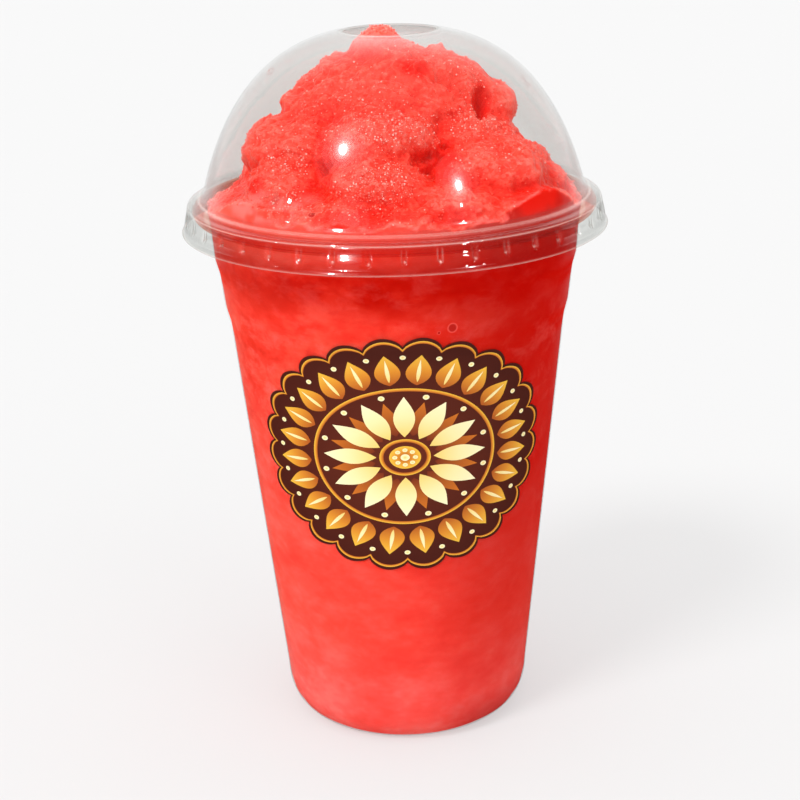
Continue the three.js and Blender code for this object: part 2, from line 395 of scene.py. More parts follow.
# %% [markdown]
# ## Dried syrup on the dome
#
# A few specks of syrup have dried on the inside of the dome. They could be small pieces of their own, but
# they are thinner than the sheet, so they are a stain in its finish: balls round a few places, broken up by
# noise. The same balls draw air bubbles further on.

# %% Material of the cup and the lid
STAIN = "#B8574C"
STAIN_SHARE = 0.55
STAIN_GRAIN = 1.1 * MM
STAIN_BREAKS = (0.45, 0.6)
STAINS = [
    ((-28.4, -8, 166), 1.7),
    ((-34.4, -3.4, 161), 1.3),
    ((30.6, -10.8, 163.3), 1.1),
    ((31.6, -11.3, 161.9), 1.3),
]
CUP_SHINE = 0.4
LID_SHINE = 1.0


def share_in_ball(tree, place, middle, outer, inner, most=1.0):
    """A share that is 0 outside a ball round a middle in mm, and most within its inner radius."""
    middle = [value * MM for value in middle]
    away = add_node(tree, "VectorMath", {0: place, 1: middle}, operation="DISTANCE").outputs["Value"]
    return add_node(tree, "MapRange", {"Value": away, 1: outer, 2: inner, 4: most})


def stain_share(tree, stains):
    """How much syrup has dried there: full in the middle of a stain, broken up by noise, none outside."""
    place = place_in(tree)[0]
    noise = add_node(tree, "TexNoise", {"Vector": place, "Scale": 1 / STAIN_GRAIN, "Detail": 2})
    total = 0.0
    for middle, radius in stains:
        inside = share_in_ball(tree, place, middle, radius * MM, 0.0)
        total = add_node(tree, "Math", {0: total, 1: inside}, operation="MAXIMUM")
    broken = {"Value": noise, 1: STAIN_BREAKS[0], 2: STAIN_BREAKS[1], 4: STAIN_SHARE}
    return add_node(tree, "Math", {0: total, 1: add_node(tree, "MapRange", broken)}, operation="MULTIPLY")


def clear_pet(name, tint_of, shine, stains=()):
    """Clear thermoformed PET: smooth and glossy, faintly grey where walls overlap, painted light at cut edges.
    """
    material, tree = new_material(name)
    window = add_node(tree, "BsdfTransparent", {"Color": tint_of(tree)})
    mirror = add_node(tree, "BsdfAnisotropic", {"Color": "#FFFFFF", "Roughness": 0.0})
    seen = add_node(tree, "MixShader", {0: mirror_share(tree, shine), 1: window, 2: mirror})
    # painted light: pale lines along the cut ends and the tightest bends
    painted_light_share = add_node(tree, "Attribute", attribute_name="painted_light").outputs["Fac"]
    films = [(painted_light_share, painted_light_tone(tree))]
    if stains:
        films.append((stain_share(tree, stains), STAIN))
    for share, shade in films:
        film = add_node(tree, "BsdfDiffuse", {"Color": shade})
        seen = add_node(tree, "MixShader", {0: share, 1: seen, 2: film})
    rays = add_node(tree, "LightPath")
    either = {0: rays.outputs["Is Shadow Ray"], 1: rays.outputs["Is Diffuse Ray"]}
    indirect = add_node(tree, "Math", either, operation="MAXIMUM")
    clear = add_node(tree, "BsdfTransparent", {"Color": FILM})
    both = add_node(tree, "MixShader", {0: indirect, 1: seen, 2: clear})
    add_node(tree, "OutputMaterial", {"Surface": both})
    return material


cup_pet = clear_pet("clear_pet_cup", cup_tint_with_painted_rim_red, CUP_SHINE)
lid_pet = clear_pet("clear_pet_lid", lid_tint_with_painted_edge_shade, LID_SHINE, STAINS)
print("made", cup_pet.name, "and", lid_pet.name)

# %% [markdown]
# ## The cup
#
# The wall is drawn down from a flat sheet, so it tapers and carries two steps that lock stacked cups apart.
# Its rim is rolled outwards into a hollow curl. A single surface with a Solidify modifier would do for the
# wall, but not for the curl. So one outline runs from the axis along the outside, round the curl and back down
# the inside to the axis, and turning it gives a closed shell.

# %% Cup shell
CUP_COLUMNS = 256
CURL_ROWS = 80
CURL_SOFT = 0.6
STEP_SOFT = 0.9
STEP_BLUR = 1.3 * MM
# painted light on the cup's curl
CURL_PAINTED_LIGHT = 0.005
CURL_START = np.radians(196)
CURL_END = np.radians(-105)
CURL_OPENING = np.radians(150)
CURL_POINTS = 60
CURL_ROUNDING = 0.3 * MM


def curl_outline():
    """The rolled rim: an ellipse one wall smaller, walked over its top, and back along the full one."""
    centre = np.array([RIM_RADIUS - BEAD_WIDTH / 2, CUP_HEIGHT - BEAD_HEIGHT / 2])
    half = np.array([BEAD_WIDTH / 2, BEAD_HEIGHT / 2])
    inner_angle = np.linspace(CURL_START, CURL_END, CURL_POINTS)
    outer_angle = np.linspace(CURL_END, CURL_OPENING, CURL_POINTS)
    inner = centre + (half - CUP_THICKNESS) * np.stack([np.cos(inner_angle), np.sin(inner_angle)], axis=1)
    outer = centre + half * np.stack([np.cos(outer_angle), np.sin(outer_angle)], axis=1)
    return np.vstack([inner, outer])


def make_cup():
    """The outline goes up the outside, round the curl and down the inside. Its two ends are the poles."""
    inside = thin_out(rounded(wall_outline(CUP_THICKNESS), WALL_ROUNDING), WALL_ROWS)[::-1]
    curl_rows = thin_out(rounded(curl_outline(), CURL_ROUNDING), CURL_ROWS)
    outline = np.vstack([outside_wall, curl_rows, inside])
    azimuths = np.arange(CUP_COLUMNS) * 2 * np.pi / CUP_COLUMNS
    rings = turn(outline[1:-1], azimuths)
    points, faces = closed_skin(rings, [0, 0, outline[0, 1]], [0, 0, outline[-1, 1]])
    piece = add_piece("cup_shell", points, faces, cup_pet)
    curl = np.zeros(outline.shape[0])
    curl[WALL_ROWS : WALL_ROWS + CURL_ROWS] = 1
    steps = sum(np.exp(-(((outline[:, 1] - height) / STEP_BLUR) ** 2)) for height in STEPS[:, 1])
    soft = np.maximum(CURL_SOFT * curl, STEP_SOFT * np.clip(steps, 0, 1))
    # the curl's softness and its share of painted light
    for name, share in (("soft", soft), ("painted_light", CURL_PAINTED_LIGHT * curl)):
        add_values(piece, name, np.concatenate([np.repeat(share[1:-1], CUP_COLUMNS), [0, 0]]))
    return piece


cup = make_cup()
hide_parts("cup")

# %% [markdown]
# ## The lid
#
# The dome is a superellipse: rounder than a cone and squarer than a ball. Round it runs a shoulder that
# sits on the rolled rim, then a flared skirt. Forty small dimples pressed into the skirt snap under the rim.
# The dimples could be a bump in the finish, but they catch sharp highlights and show in the outline, so they
# are real. A dimple moves both faces of the sheet inwards together, so the sheet keeps its thickness. The
# columns gather at the dimples, where the shape changes fast, and are wide apart between them.

# %% Sizes of the lid, the same as in the frame
LID_THICKNESS = 0.5 * MM
DOME_RADIUS = 50.4 * MM
DOME_CENTRE = 90.4 * MM
DOME_HEIGHT = 84 * MM
DOME_POWER = 2.64
DOME_FOOT = 136.9 * MM
HOLE_RADIUS = 11 * MM
SHOULDER = np.array([[50.3, 133.5], [49.95, 134.2], [48.7, 134.45], [48.35, 135.1], [46.9, 135.6]]) * MM
SKIRT_RADII = [51.75, 51.19, 50.94, 50.8, 50.6, 50.45]
SKIRT_HEIGHTS = [127.5, 128.4, 130.2, 130.9, 131.6, 132.3]
SKIRT = np.column_stack([SKIRT_RADII, SKIRT_HEIGHTS]) * MM
LUG_COUNT = 40
LUG_START = np.radians(2)
LUG_TOP = 133 * MM
LUG_TIP = 130.1 * MM
LUG_FOOT = 129.4 * MM
LUG_DEPTH = 0.95 * MM
LUG_COLUMNS = np.array([-3.6, -2.4, -1.3, -0.8, -0.55, -0.35, -0.12, 0.12, 0.35, 0.55, 0.8, 1.3, 2.4]) * MM
LUG_HALF_WIDTH = 0.62 * MM


def dome_outline(count=200):
    """The dome from its foot to the hole, on (r / radius)^p + (z / height)^p = 1."""
    start = np.arcsin(((DOME_FOOT - DOME_CENTRE) / DOME_HEIGHT) ** (DOME_POWER / 2))
    end = np.arccos((HOLE_RADIUS / DOME_RADIUS) ** (DOME_POWER / 2))
    angle = np.linspace(start, end, count)
    radius = DOME_RADIUS * np.cos(angle) ** (2 / DOME_POWER)
    return np.stack([radius, DOME_CENTRE + DOME_HEIGHT * np.sin(angle) ** (2 / DOME_POWER)], axis=1)


print("the dome ends at its hole,", round(dome_outline()[-1, 1] / MM, 1), "mm up")

# %% [markdown]
# ## How the lid's sheet catches light
#
# A lid is stamped out of its sheet, so both its cut ends are matt. It is blurred on the tight bends of the
# shoulder, along two ridges and in the dimples. Pale lines of painted light run along its cut ends, its ridges,
# the shoulder and the sides of the dimples, and a painted highlight sits at each dimple's lower tip: they stand
# in for light that the sheet carries there.
# These places could have materials of their own, but they fade into each other, so every point gets two
# numbers that the one finish reads. No two lugs are quite the same, because the sheet never draws evenly.

# %% Soft and milky places of the lid
RIDGES = np.array([[47.4, 135.4], [50.25, 133.7]]) * MM
RIDGE_WIDTH = 0.2 * MM
# painted light: a pale line along each ridge of the shoulder
RIDGE_PAINTED_LIGHT = 0.24
SHOULDER_ZONE = (135.3 * MM, 1.8 * MM)
SHOULDER_SOFT = 0.3
# painted light on the shoulder
SHOULDER_PAINTED_LIGHT = 0.02
LUG_SOFT = 0.6
# painted light down the sides of each lug, and a painted highlight at its lower tip
LUG_PAINTED_LIGHT = 0.07
LUG_TIP_PAINTED_HIGHLIGHT = 0.5
LUG_FADE_TOP = (LUG_TOP + 0.2 * MM, LUG_TOP - 0.6 * MM)
LUG_FADE_TIP = (LUG_TIP - 0.3 * MM, LUG_TIP)
LUG_FADE_FOOT = (LUG_FOOT - 0.5 * MM, LUG_FOOT)
LUG_FADE_SIDE = (3.6 * LUG_HALF_WIDTH, 1.8 * LUG_HALF_WIDTH)
LUG_SIDE = (0.55 * MM, 0.15 * MM)
LUG_TIP_SIZE = (0.22 * MM, 0.2 * MM)
LUG_STRENGTHS = (0.2, 1.2)
LEAST_TIP = 0.4
LUG_ASIDE = (-0.2 * MM, 0.2 * MM)
LUG_LIFT = (-0.3 * MM, 0.2 * MM)
HOLE_SOFT = 0.93
HOLE_ZONE = (0.6 * MM, 1.8 * MM)
CUT_WIDTH = 0.22 * MM
SKIRT_CUT = (3 * CUT_WIDTH, CUT_WIDTH)
# painted light: pale lines along the cut ends of the skirt and of the hole
SKIRT_PAINTED_LIGHT = 0.18
HOLE_PAINTED_LIGHT = 0.1


def bell(distance, width):
    """1 at no distance, falling as exp(-(distance / width)^2)."""
    return np.exp(-((distance / width) ** 2))


def lid_shares(outline, offsets):
    """How soft the sheet is, and how much painted light lies on it. It is soft at its two cut ends, on the
    shoulder and round the lugs. The painted light lies at the ends, along the ridges and on both sides of each
    lug, and most at the lug's lower tip, where it is a painted highlight."""
    to_skirt, to_hole = (np.hypot(*(outline - end).T) for end in (outline[0], outline[-1]))
    shoulder = bell(outline[:, 1] - SHOULDER_ZONE[0], SHOULDER_ZONE[1])
    ridge = sum(bell(np.hypot(*(outline - place).T), RIDGE_WIDTH) for place in RIDGES)
    height = outline[:, 1, None]
    below_top = smoothstep(*LUG_FADE_TOP, height)
    along_lug = smoothstep(*LUG_FADE_TIP, height) * below_top
    in_lug = smoothstep(*LUG_FADE_FOOT, height) * below_top * smoothstep(*LUG_FADE_SIDE, np.abs(offsets))
    random = np.random.default_rng(8)
    strength, aside, lift = (
        np.repeat(random.uniform(low, high, LUG_COUNT), len(LUG_COLUMNS))
        for low, high in (LUG_STRENGTHS, LUG_ASIDE, LUG_LIFT)
    )
    lug_side = strength * along_lug * bell(np.abs(offsets) - LUG_SIDE[0], LUG_SIDE[1])
    tip = (LEAST_TIP + (1 - LEAST_TIP) * strength) * bell(height - LUG_TIP - lift, LUG_TIP_SIZE[1])
    tip = tip * bell(offsets - aside, LUG_TIP_SIZE[0])
    far = smoothstep(HOLE_ZONE[1], HOLE_ZONE[0], to_hole)
    cut = np.maximum(smoothstep(*SKIRT_CUT, to_skirt), HOLE_SOFT * far)
    soft_rows = np.maximum(cut, SHOULDER_SOFT * shoulder)
    painted_light_rows = SKIRT_PAINTED_LIGHT * bell(to_skirt, CUT_WIDTH) + HOLE_PAINTED_LIGHT * bell(to_hole, CUT_WIDTH)
    painted_light_rows = painted_light_rows + RIDGE_PAINTED_LIGHT * ridge + SHOULDER_PAINTED_LIGHT * shoulder
    soft = np.maximum(soft_rows[:, None], LUG_SOFT * in_lug)
    painted_light = painted_light_rows[:, None] + np.maximum(LUG_PAINTED_LIGHT * lug_side, LUG_TIP_PAINTED_HIGHLIGHT * tip)
    return np.clip(soft, 0, 1), np.clip(painted_light, 0, 1)


print("the ridges of the shoulder are", RIDGE_WIDTH / MM, "mm wide")

# %% [markdown]
# ## One sheet with two faces
#
# The lid could get its thickness from a Solidify modifier, but the two faces are also needed as rows of one
# grid, so that the numbers for the finish run over both. So the inside is worked out from the outside, one
# thickness off it, and the grid goes round from the skirt over the dome to the hole and back inside.

# %% Lid shell
FLANGE_ROWS = 58
FLANGE_BEND_WEIGHT = 3 * MM
DOME_ROWS = 34
DOME_BEND_WEIGHT = 12 * MM
LID_ROUNDING = 0.7 * MM


def lug_columns():
    """Azimuths of the columns, and how far each is from the middle of its lug as a length on the skirt."""
    middles = LUG_START - np.pi / 2 + np.arange(LUG_COUNT) * 2 * np.pi / LUG_COUNT
    azimuths = middles[:, None] + LUG_COLUMNS / SKIRT[0, 0]
    return azimuths.ravel(), np.tile(LUG_COLUMNS, LUG_COUNT)


def make_lid():
    """One sheet with two faces: the inside lies one thickness off the outside, square to the outline."""
    outside = rounded(np.vstack([SKIRT, SHOULDER, dome_outline()]), LID_ROUNDING)
    split = np.argmax(outside[:, 1] > DOME_FOOT)
    flange = thin_out(outside[: split + 1], FLANGE_ROWS, FLANGE_BEND_WEIGHT)
    dome = thin_out(outside[split:], DOME_ROWS, DOME_BEND_WEIGHT)
    outside = np.vstack([flange[:-1], dome])
    along = np.gradient(outside, axis=0)
    along /= np.hypot(*along.T)[:, None]
    inside = outside + LID_THICKNESS * np.stack([-along[:, 1], along[:, 0]], axis=1)
    azimuths, offsets = lug_columns()
    across = np.clip(1 - np.abs(offsets) / LUG_HALF_WIDTH, 0, 1)
    depth = np.interp(outside[:, 1], [LUG_FOOT, LUG_TIP, LUG_TOP], [0, LUG_DEPTH, 0])
    shells = []
    for sheet, sheet_depth in ((outside, depth), (inside[::-1], depth[::-1])):
        rings = turn(sheet, azimuths)
        radius = np.hypot(rings[..., 0], rings[..., 1])
        rings[..., :2] *= (1 - sheet_depth[:, None] * across / radius)[..., None]
        shells.append(rings)
    rings = np.vstack(shells)
    faces = [grid_faces(rings.shape[0], len(azimuths), wrap_rows=True)]
    piece = add_piece("lid_shell", rings, faces, lid_pet)
    # the sheet's softness and its share of painted light
    for name, share in zip(("soft", "painted_light"), lid_shares(outside, offsets)):
        add_values(piece, name, np.vstack([share, share[::-1]]))
    return piece


lid = make_lid()
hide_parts("lid")

# %% [markdown]
# ## Noise as arrays
#
# Crushed ice is uneven at every scale. A Displace modifier with a texture could roughen it, but only along
# one direction, and its result couldn't be measured here. So two kinds of seeded noise make the relief. The
# smooth one joins random numbers on a lattice by soft curves, for lumps and clouds. The grainy one measures
# the distance to the nearest of many scattered centres, which looks like packed grains. Both take a whole
# array of points at once.


# %% Noise
LATTICE_SIDE = 40


def smooth_noise(points, size, seed):
    """From -1 to 1, swelling and fading over about size: lattice values blended by smoothstep on each axis."""
    lattice = np.random.default_rng(seed).uniform(-1, 1, (LATTICE_SIDE,) * 3)
    place = points / size
    corner = np.floor(place).astype(int)
    share = place - corner
    share = share * share * (3 - 2 * share)
    total = 0
    for shift in np.ndindex(2, 2, 2):
        weight = np.prod(np.where(shift, share, 1 - share), axis=-1)
        total = total + weight * lattice[tuple(np.moveaxis((corner + shift) % LATTICE_SIDE, -1, 0))]
    return total


def grain_noise(points, size, seed):
    """1 at the middle of a grain and 0 where grains meet: one minus the distance to the nearest centre."""
    centres = np.random.default_rng(seed).uniform(0, 1, (LATTICE_SIDE,) * 3 + (3,))
    place = points / size
    cell = np.floor(place).astype(int)
    nearest = np.full(points.shape[:-1], 9.0)
    for shift in np.ndindex(3, 3, 3):
        other = cell + shift - 1
        centre = other + centres[tuple(np.moveaxis(other % LATTICE_SIDE, -1, 0))]
        nearest = np.minimum(nearest, np.linalg.norm(place - centre, axis=-1))
    return np.clip(1 - nearest, 0, 1)


sample = smooth_noise(np.linspace(0, 60 * MM, 200)[:, None] * [1, 0.6, 0.3], 6 * MM, 11)
print("smooth noise along a line runs from", round(sample.min(), 2), "to", round(sample.max(), 2))

# %% [markdown]
# ## The shape of the heap
#
# A swirled heap slumps into rounded lumps. It could be sculpted, or made of metaballs, but neither can be held
# to the frame's own heap point by point. So it is a field of distances, as in the frame: each lump is an
# ellipsoid, and a soft minimum lets the lumps flow into each other as spooned ice does. Two small hollows are
# taken out.

# %% Lumps of the heap, the same as in the frame
HEAP_CENTRE = np.array([0, 0, 118]) * MM
HEAP_REACH = 70 * MM
BLEND = 0.8 * MM
LUMPS = {
    "summit": ((-1, 0, 154.5), (24.5, 22, 14)),
    "crown": ((1, -1, 162), (20, 14, 7.5)),
    "tip": ((-3.2, 0, 166.5), (7.2, 7, 8.2)),
    "saddle": ((5, -2, 166.3), (5.5, 4.5, 3.7)),
    "right_nub": ((10.6, -2, 167.3), (3.1, 3.2, 3.2)),
    "right_corner": ((14, -2, 158.6), (9.4, 11, 7.4)),
    "right_ear": ((24, -2, 154.8), (5.8, 8, 6)),
    "left_corner": ((-18, -5, 156.6), (8.8, 10, 4.6)),
    "left_shoulder": ((-22, -12, 147.5), (13.8, 14, 9.4)),
    "middle_ridge": ((-3, -18, 149), (15, 13, 10)),
    "front_lump": ((-4, -28, 140.5), (12, 11, 9)),
    "right_ledge": ((16, -12, 150), (11, 11, 6.6)),
    "right_lump": ((21, -16, 142.5), (15.5, 16, 9.4)),
    "far_right_lump": ((30.6, -6, 137.6), (11.4, 13, 7.6)),
    "lower_left_lump": ((-23.4, -18, 140), (11.4, 15, 9)),
    "pressed_right": ((28, -24, 134), (14, 16, 7.5)),
    "pressed_left": ((-29, -24, 133), (14, 16, 7.5)),
    "front_foot": ((12, -32, 136), (14, 10, 7.5)),
    "left_foot": ((-13, -33, 134.5), (15, 9, 6)),
    "back_lump": ((0, 18, 147), (18, 14, 10)),
    "back_left_lump": ((-19, 16, 143), (14, 14, 9.5)),
    "back_right_lump": ((20, 17, 142), (14, 13, 9.5)),
    "back_foot": ((-6, 28, 137.5), (16, 11, 8)),
    "left_back_foot": ((-30, 11, 137), (9, 12, 6.4)),
    "right_back_foot": ((30, 14, 137), (10, 12, 6.8)),
    "fill": ((0, 0, 128), (47.5, 48, 15)),
    "front_fill": ((0, -10, 129), (45, 41, 15.5)),
}
HOLLOWS = {
    "right_cleft": ((20.3, -14, 157.5), (2, 6, 6)),
    "front_crease": ((9.5, -31, 148), (6, 6, 2.4)),
}


def ellipsoid_distance(points, middle, half):
    """Distance to an ellipsoid, near enough to true: n(n - 1) / slope, where n is 1 on its surface."""
    half = np.array(half) * MM
    offset = (points - np.array(middle) * MM) / half
    near = np.linalg.norm(offset, axis=-1)
    return near * (near - 1) / np.sqrt(((offset / half) ** 2).sum(-1) + 1e-12)


def heap_distance(points):
    """Soft minimum of the lumps' distances, -b log(sum(exp(-d / b))), with the hollows taken out."""
    total = sum(np.exp(-ellipsoid_distance(points, *lump) / BLEND) for lump in LUMPS.values())
    distance = -BLEND * np.log(total + 1e-30)
    for hollow in HOLLOWS.values():
        distance = np.maximum(distance, -ellipsoid_distance(points, *hollow))
    return distance


print(len(LUMPS), "lumps; the heap's centre is", round(-heap_distance(HEAP_CENTRE) / MM, 1), "mm inside them")

# %% [markdown]
# ## The room that the plastic leaves
#
# The ice is pressed against the neck of the cup and the dome, where it lies flat, and its tip stands in the
# hole. A Boolean modifier could cut the heap with the lid's inside, but it leaves a hard seam. One more
# distance, to the outside of the room, lets every ray stop at whichever surface it meets first.

# %% The room under the lid
INTO_WALL = 0.3 * MM
NECK_WIDENING = 0.2
HOLE_EASE = np.array([8.5, 10.3]) * MM
HOLE_EASE_RISE = 4 * MM


def room_distance(points):
    """How far a point is outside the neck and the dome, less a rise where the hole lets the tip through.
    The room ends just inside the plastic, so that where the ice presses on it no air shows between them."""
    from_axis = np.hypot(points[..., 0], points[..., 1])
    height = points[..., 2]
    neck_radius = NECK[0] - CUP_THICKNESS + INTO_WALL + NECK_WIDENING * (height - NECK[1])
    inset = LID_THICKNESS - INTO_WALL
    across = from_axis / (DOME_RADIUS - inset)
    up = np.maximum(0, height - DOME_CENTRE) / (DOME_HEIGHT - inset)
    dome_share = (across**DOME_POWER + up**DOME_POWER) ** (1 / DOME_POWER)
    ease = 1 - smoothstep(*HOLE_EASE, from_axis)
    return np.maximum(from_axis - neck_radius, (dome_share - 1) * DOME_RADIUS - ease * HOLE_EASE_RISE)


print("the heap's centre is", round(-room_distance(HEAP_CENTRE) / MM, 1), "mm from the nearest plastic")

# %% [markdown]
# ## Crags, knobs and chips
#
# On the smooth lumps lie swells, knobs a few millimetres wide and packed grains, crumbly in some places and
# smoother in others. A few crumbs stick out of the outline and a few chips have broken off it, so these are
# set one by one. All of it is a height above the lumps in millimetres, because real relief catches the lamps
# and breaks up the outline, which a bump in the finish can't do.

# %% Relief of the crushed ice
KNOBS = [(6.5 * MM, 11, 0.7), (3.1 * MM, 12, 0.5)]
PACKED_GRAINS = [(2.6 * MM, 13, 1.2), (1.5 * MM, 14, 0.7)]
MEAN_GRAIN = 0.45
CRUMBLE = (12 * MM, 15)
CRUMBLE_EDGE = (-0.3, 0.4)
LEAST_CRUMBLE = 0.45
CHIPS = [
    ((-13.4, -5, 169.3), 1.8, 0.5),
    ((-16.4, -5, 167.4), 1.9, 1.0),
    ((-21.4, -5, 164.2), 2.2, 0.9),
    ((-11, -5, 170.8), 2.6, -1.5),
    ((-14.8, -5, 168.7), 1.2, -0.8),
    ((-18.9, -5, 166), 1.6, -0.8),
    ((-26.5, -8, 157), 1.8, -2.3),
    ((-36.2, -14, 150.6), 1.6, -0.9),
    ((-37.5, -13, 141.5), 4, -3),
    ((-39.7, 12, 138.5), 3.5, -2.2),
    ((33, 18, 146), 3.5, -1.8),
    ((4.2, 0, 170.3), 2, 1.0),
    ((43.5, -3, 136), 2.5, 1.2),
    ((37, -8, 142.8), 4.5, -1.5),
    ((23, -7, 160.5), 1.8, 1.0),
    ((28.5, -5, 158), 1.6, 0.7),
    ((27, -9, 153), 2.0, 0.9),
    ((29.6, -5, 151.5), 1.4, -0.8),
    ((17.5, -9, 163.5), 1.6, 0.8),
]
CHIP_DEPTH = 3
TIP_TOP = 174.5 * MM


def chips(points):
    """Crumbs that stick out of the edge and chips that broke off it: bells, three times as deep as wide."""
    total = 0
    for middle, radius, height in CHIPS:
        offset = (points / MM - middle) / (radius * np.array([1, CHIP_DEPTH, 1]))
        total = total + height * np.exp(-(offset**2).sum(-1))
    return total


def crags(points):
    """Height of the ice above the smooth lumps: swells and knobs, and packed grains where it is crumbly."""
    knobs = sum(smooth_noise(points, size, seed) * height for size, seed, height in KNOBS)
    grains = sum((grain_noise(points, size, seed) - MEAN_GRAIN) * high for size, seed, high in PACKED_GRAINS)
    crumble = smoothstep(*CRUMBLE_EDGE, smooth_noise(points, *CRUMBLE))
    crumbly = LEAST_CRUMBLE + (1 - LEAST_CRUMBLE) * crumble
    return (knobs + grains * crumbly + chips(points)) * MM


def craggy_distance(points):
    """Distance to the heap with its relief. Its tip is worn flat just above the hole."""
    return np.maximum(heap_distance(points) - crags(points), points[..., 2] - TIP_TOP)


print("the relief at the tip is", round(float(crags(np.array([-3.2, 0, 174]) * MM)) / MM, 2), "mm high")

# %% [markdown]
# ## A surface from rays
#
# A field of distances isn't a mesh yet. Marching cubes would make one, with faces of odd shapes and sizes.
# Here rays come in towards one point low in the heap, one for each point of a grid of azimuths and
# elevations, and stop where they first meet the field. That gives a surface with no holes or folds in it,
# which a plain grid can hold. A coarse grid of rays finds the smooth lumps first, because it is quick.

# %% Rays that meet the heap
HEAP_COLUMNS = 480
HEAP_ROWS = 166
COARSE_SHARE = 4
COARSE_STEPS = 60
STEP_SHARE = 0.7
HALVINGS = 24
LOWEST = np.arctan2(NECK[1] - HEAP_CENTRE[2], NECK[0] - CUP_THICKNESS + INTO_WALL)


def directions(rows, columns):
    """Unit directions for a grid of elevations, from the neck's to straight up, and azimuths."""
    elevation = np.linspace(LOWEST, np.pi / 2, rows)[:, None]
    azimuth = np.arange(columns) * 2 * np.pi / columns
    flat = np.cos(elevation)
    return np.stack([flat * np.cos(azimuth), flat * np.sin(azimuth), np.sin(elevation) + 0 * azimuth], axis=-1)


def march(along, reach, distance, steps, share=STEP_SHARE):
    """Moves each ray's end inwards by a share of the distance that is left, several times."""
    for _ in range(steps):
        reach = reach - share * distance(HEAP_CENTRE + along * reach[..., None])
    return reach


def room_reach(along):
    """Where each ray leaves the room, by halving an interval again and again."""
    low = np.zeros(along.shape[:-1])
    high = np.full(along.shape[:-1], HEAP_REACH)
    for _ in range(HALVINGS):
        middle = (low + high) / 2
        outside = room_distance(HEAP_CENTRE + along * middle[..., None]) > 0
        high = np.where(outside, middle, high)
        low = np.where(outside, low, middle)
    return low


along = directions(HEAP_ROWS, HEAP_COLUMNS)
coarse_along = directions((HEAP_ROWS - 1) // COARSE_SHARE + 1, HEAP_COLUMNS // COARSE_SHARE)
coarse_reach = np.full(coarse_along.shape[:-1], HEAP_REACH)
coarse_reach = march(coarse_along, coarse_reach, heap_distance, COARSE_STEPS)
print("coarse heap:", coarse_reach.shape, "rays, longest", round(coarse_reach.max() / MM, 1), "mm")

# %% [markdown]
# ## From coarse to fine
#
# The coarse rays are stretched over the fine grid and drawn in a few steps more. Then each ray starts again a
# little further out and stops at the relief, or at the plastic if that comes first. Starting close saves most
# of the steps, which matters because the noise is slow to work out.

# %% Fine surface of the heap
SMOOTH_STEPS = 6
CRAG_ROOM = 2.5 * MM
CRAG_STEPS = 14


def stretch(values, rows, columns):
    """A coarse grid read at more rows and columns, with straight lines between its values. Columns go round."""
    row = np.linspace(0, values.shape[0] - 1, rows)
    column = np.arange(columns) * values.shape[1] / columns
    low_row = np.minimum(row.astype(int), values.shape[0] - 2)
    low_column = column.astype(int)
    next_column = (low_column + 1) % values.shape[1]
    up = (row - low_row)[:, None]
    across = (column - low_column)[None, :]
    low, high = (
        line[:, low_column] * (1 - across) + line[:, next_column] * across
        for line in (values[low_row], values[low_row + 1])
    )
    return low * (1 - up) + high * up


limit = room_reach(along)
smooth_reach = stretch(coarse_reach, HEAP_ROWS, HEAP_COLUMNS)
smooth_reach = march(along, smooth_reach, heap_distance, SMOOTH_STEPS)
free_reach = march(along, smooth_reach + CRAG_ROOM, craggy_distance, CRAG_STEPS)
reach = np.minimum(free_reach, limit)
print("share of the heap that presses on the plastic:", round(float((free_reach > limit).mean()), 3))

# %% [markdown]
# ## Where the ice is pale, deep or pressed flat
#
# The creases are a deep red and the tops of the lumps are pale: partly syrup that pools in the creases, and
# partly painted shade in the creases and painted light on the lumps.
# Vertex paint could show that, but here the shape itself tells: the gap between the heap and a blurred copy of
# itself is a number for each point. A second number says where the ice lies flat on the plastic, where it
# looks smooth and wet. Two more mark a smear of pale foam with a rim of it round the flat places, and the
# spots where syrup has sunk in, which in the clefts are also painted shade.


# %% Numbers for the material
def blurred(values, width):
    """A grid averaged over width rows and columns each way, three times over, so that it is close to a bell."""
    for _ in range(3):
        columns = np.cumsum(np.pad(values, ((0, 0), (width + 1, width)), mode="wrap"), axis=1)
        values = (columns[:, 2 * width + 1 :] - columns[:, : -2 * width - 1]) / (2 * width + 1)
        rows = np.cumsum(np.pad(values, ((width + 1, width), (0, 0)), mode="reflect"), axis=0)
        values = (rows[2 * width + 1 :] - rows[: -2 * width - 1]) / (2 * width + 1)
    return values


CREASE_BLUR = 9
PRESSED_DEPTHS = (-0.2, 0.5)
FOAM_PLACE = (-29, -31, 139), (17, 13, 4.5)
FOAM_EDGE = (0.0, 0.6)
FOAM_BREAKS = (-0.6, 0.5)
STREAK_STRETCH = (1, 1, 2.2)
STREAKS = [(3.2 * MM, 21), (1.2 * MM, 22)]
FINE_STREAKS = 0.5
RIM_WIDTH = 0.3 * MM
RIM_BREAKS = (-0.3, 0.4)
RIM_SHARE = 0.7
RAGGED = (2.5 * MM, 23)
RAGGED_SHARE = 0.25
SYRUP_AND_SHADE_EDGE = (0.0, 0.7)
# places where syrup has sunk in; in the shadowed clefts these spots are also painted shade
SYRUP_AND_SHADE_PLACES = [
    ((5.3, -12.6, 166.4), (6, 6, 4.4)),
    ((10.6, -25, 147.7), (6.5, 6, 4.5)),
    ((20.9, -8.5, 159), (3, 7, 5.5)),
    ((-8, -43, 137.8), (16, 6, 3)),
    ((12, -42, 138), (9, 6, 2.6)),
    ((-31.9, -28.6, 143), (3.5, 5, 4)),
    ((32, -30, 139), (12, 12, 5)),
]


def near(points, middle, half):
    """1 at the middle of an ellipsoid, falling to 0 on its surface."""
    return 1 - np.linalg.norm((points / MM - middle) / half, axis=-1)


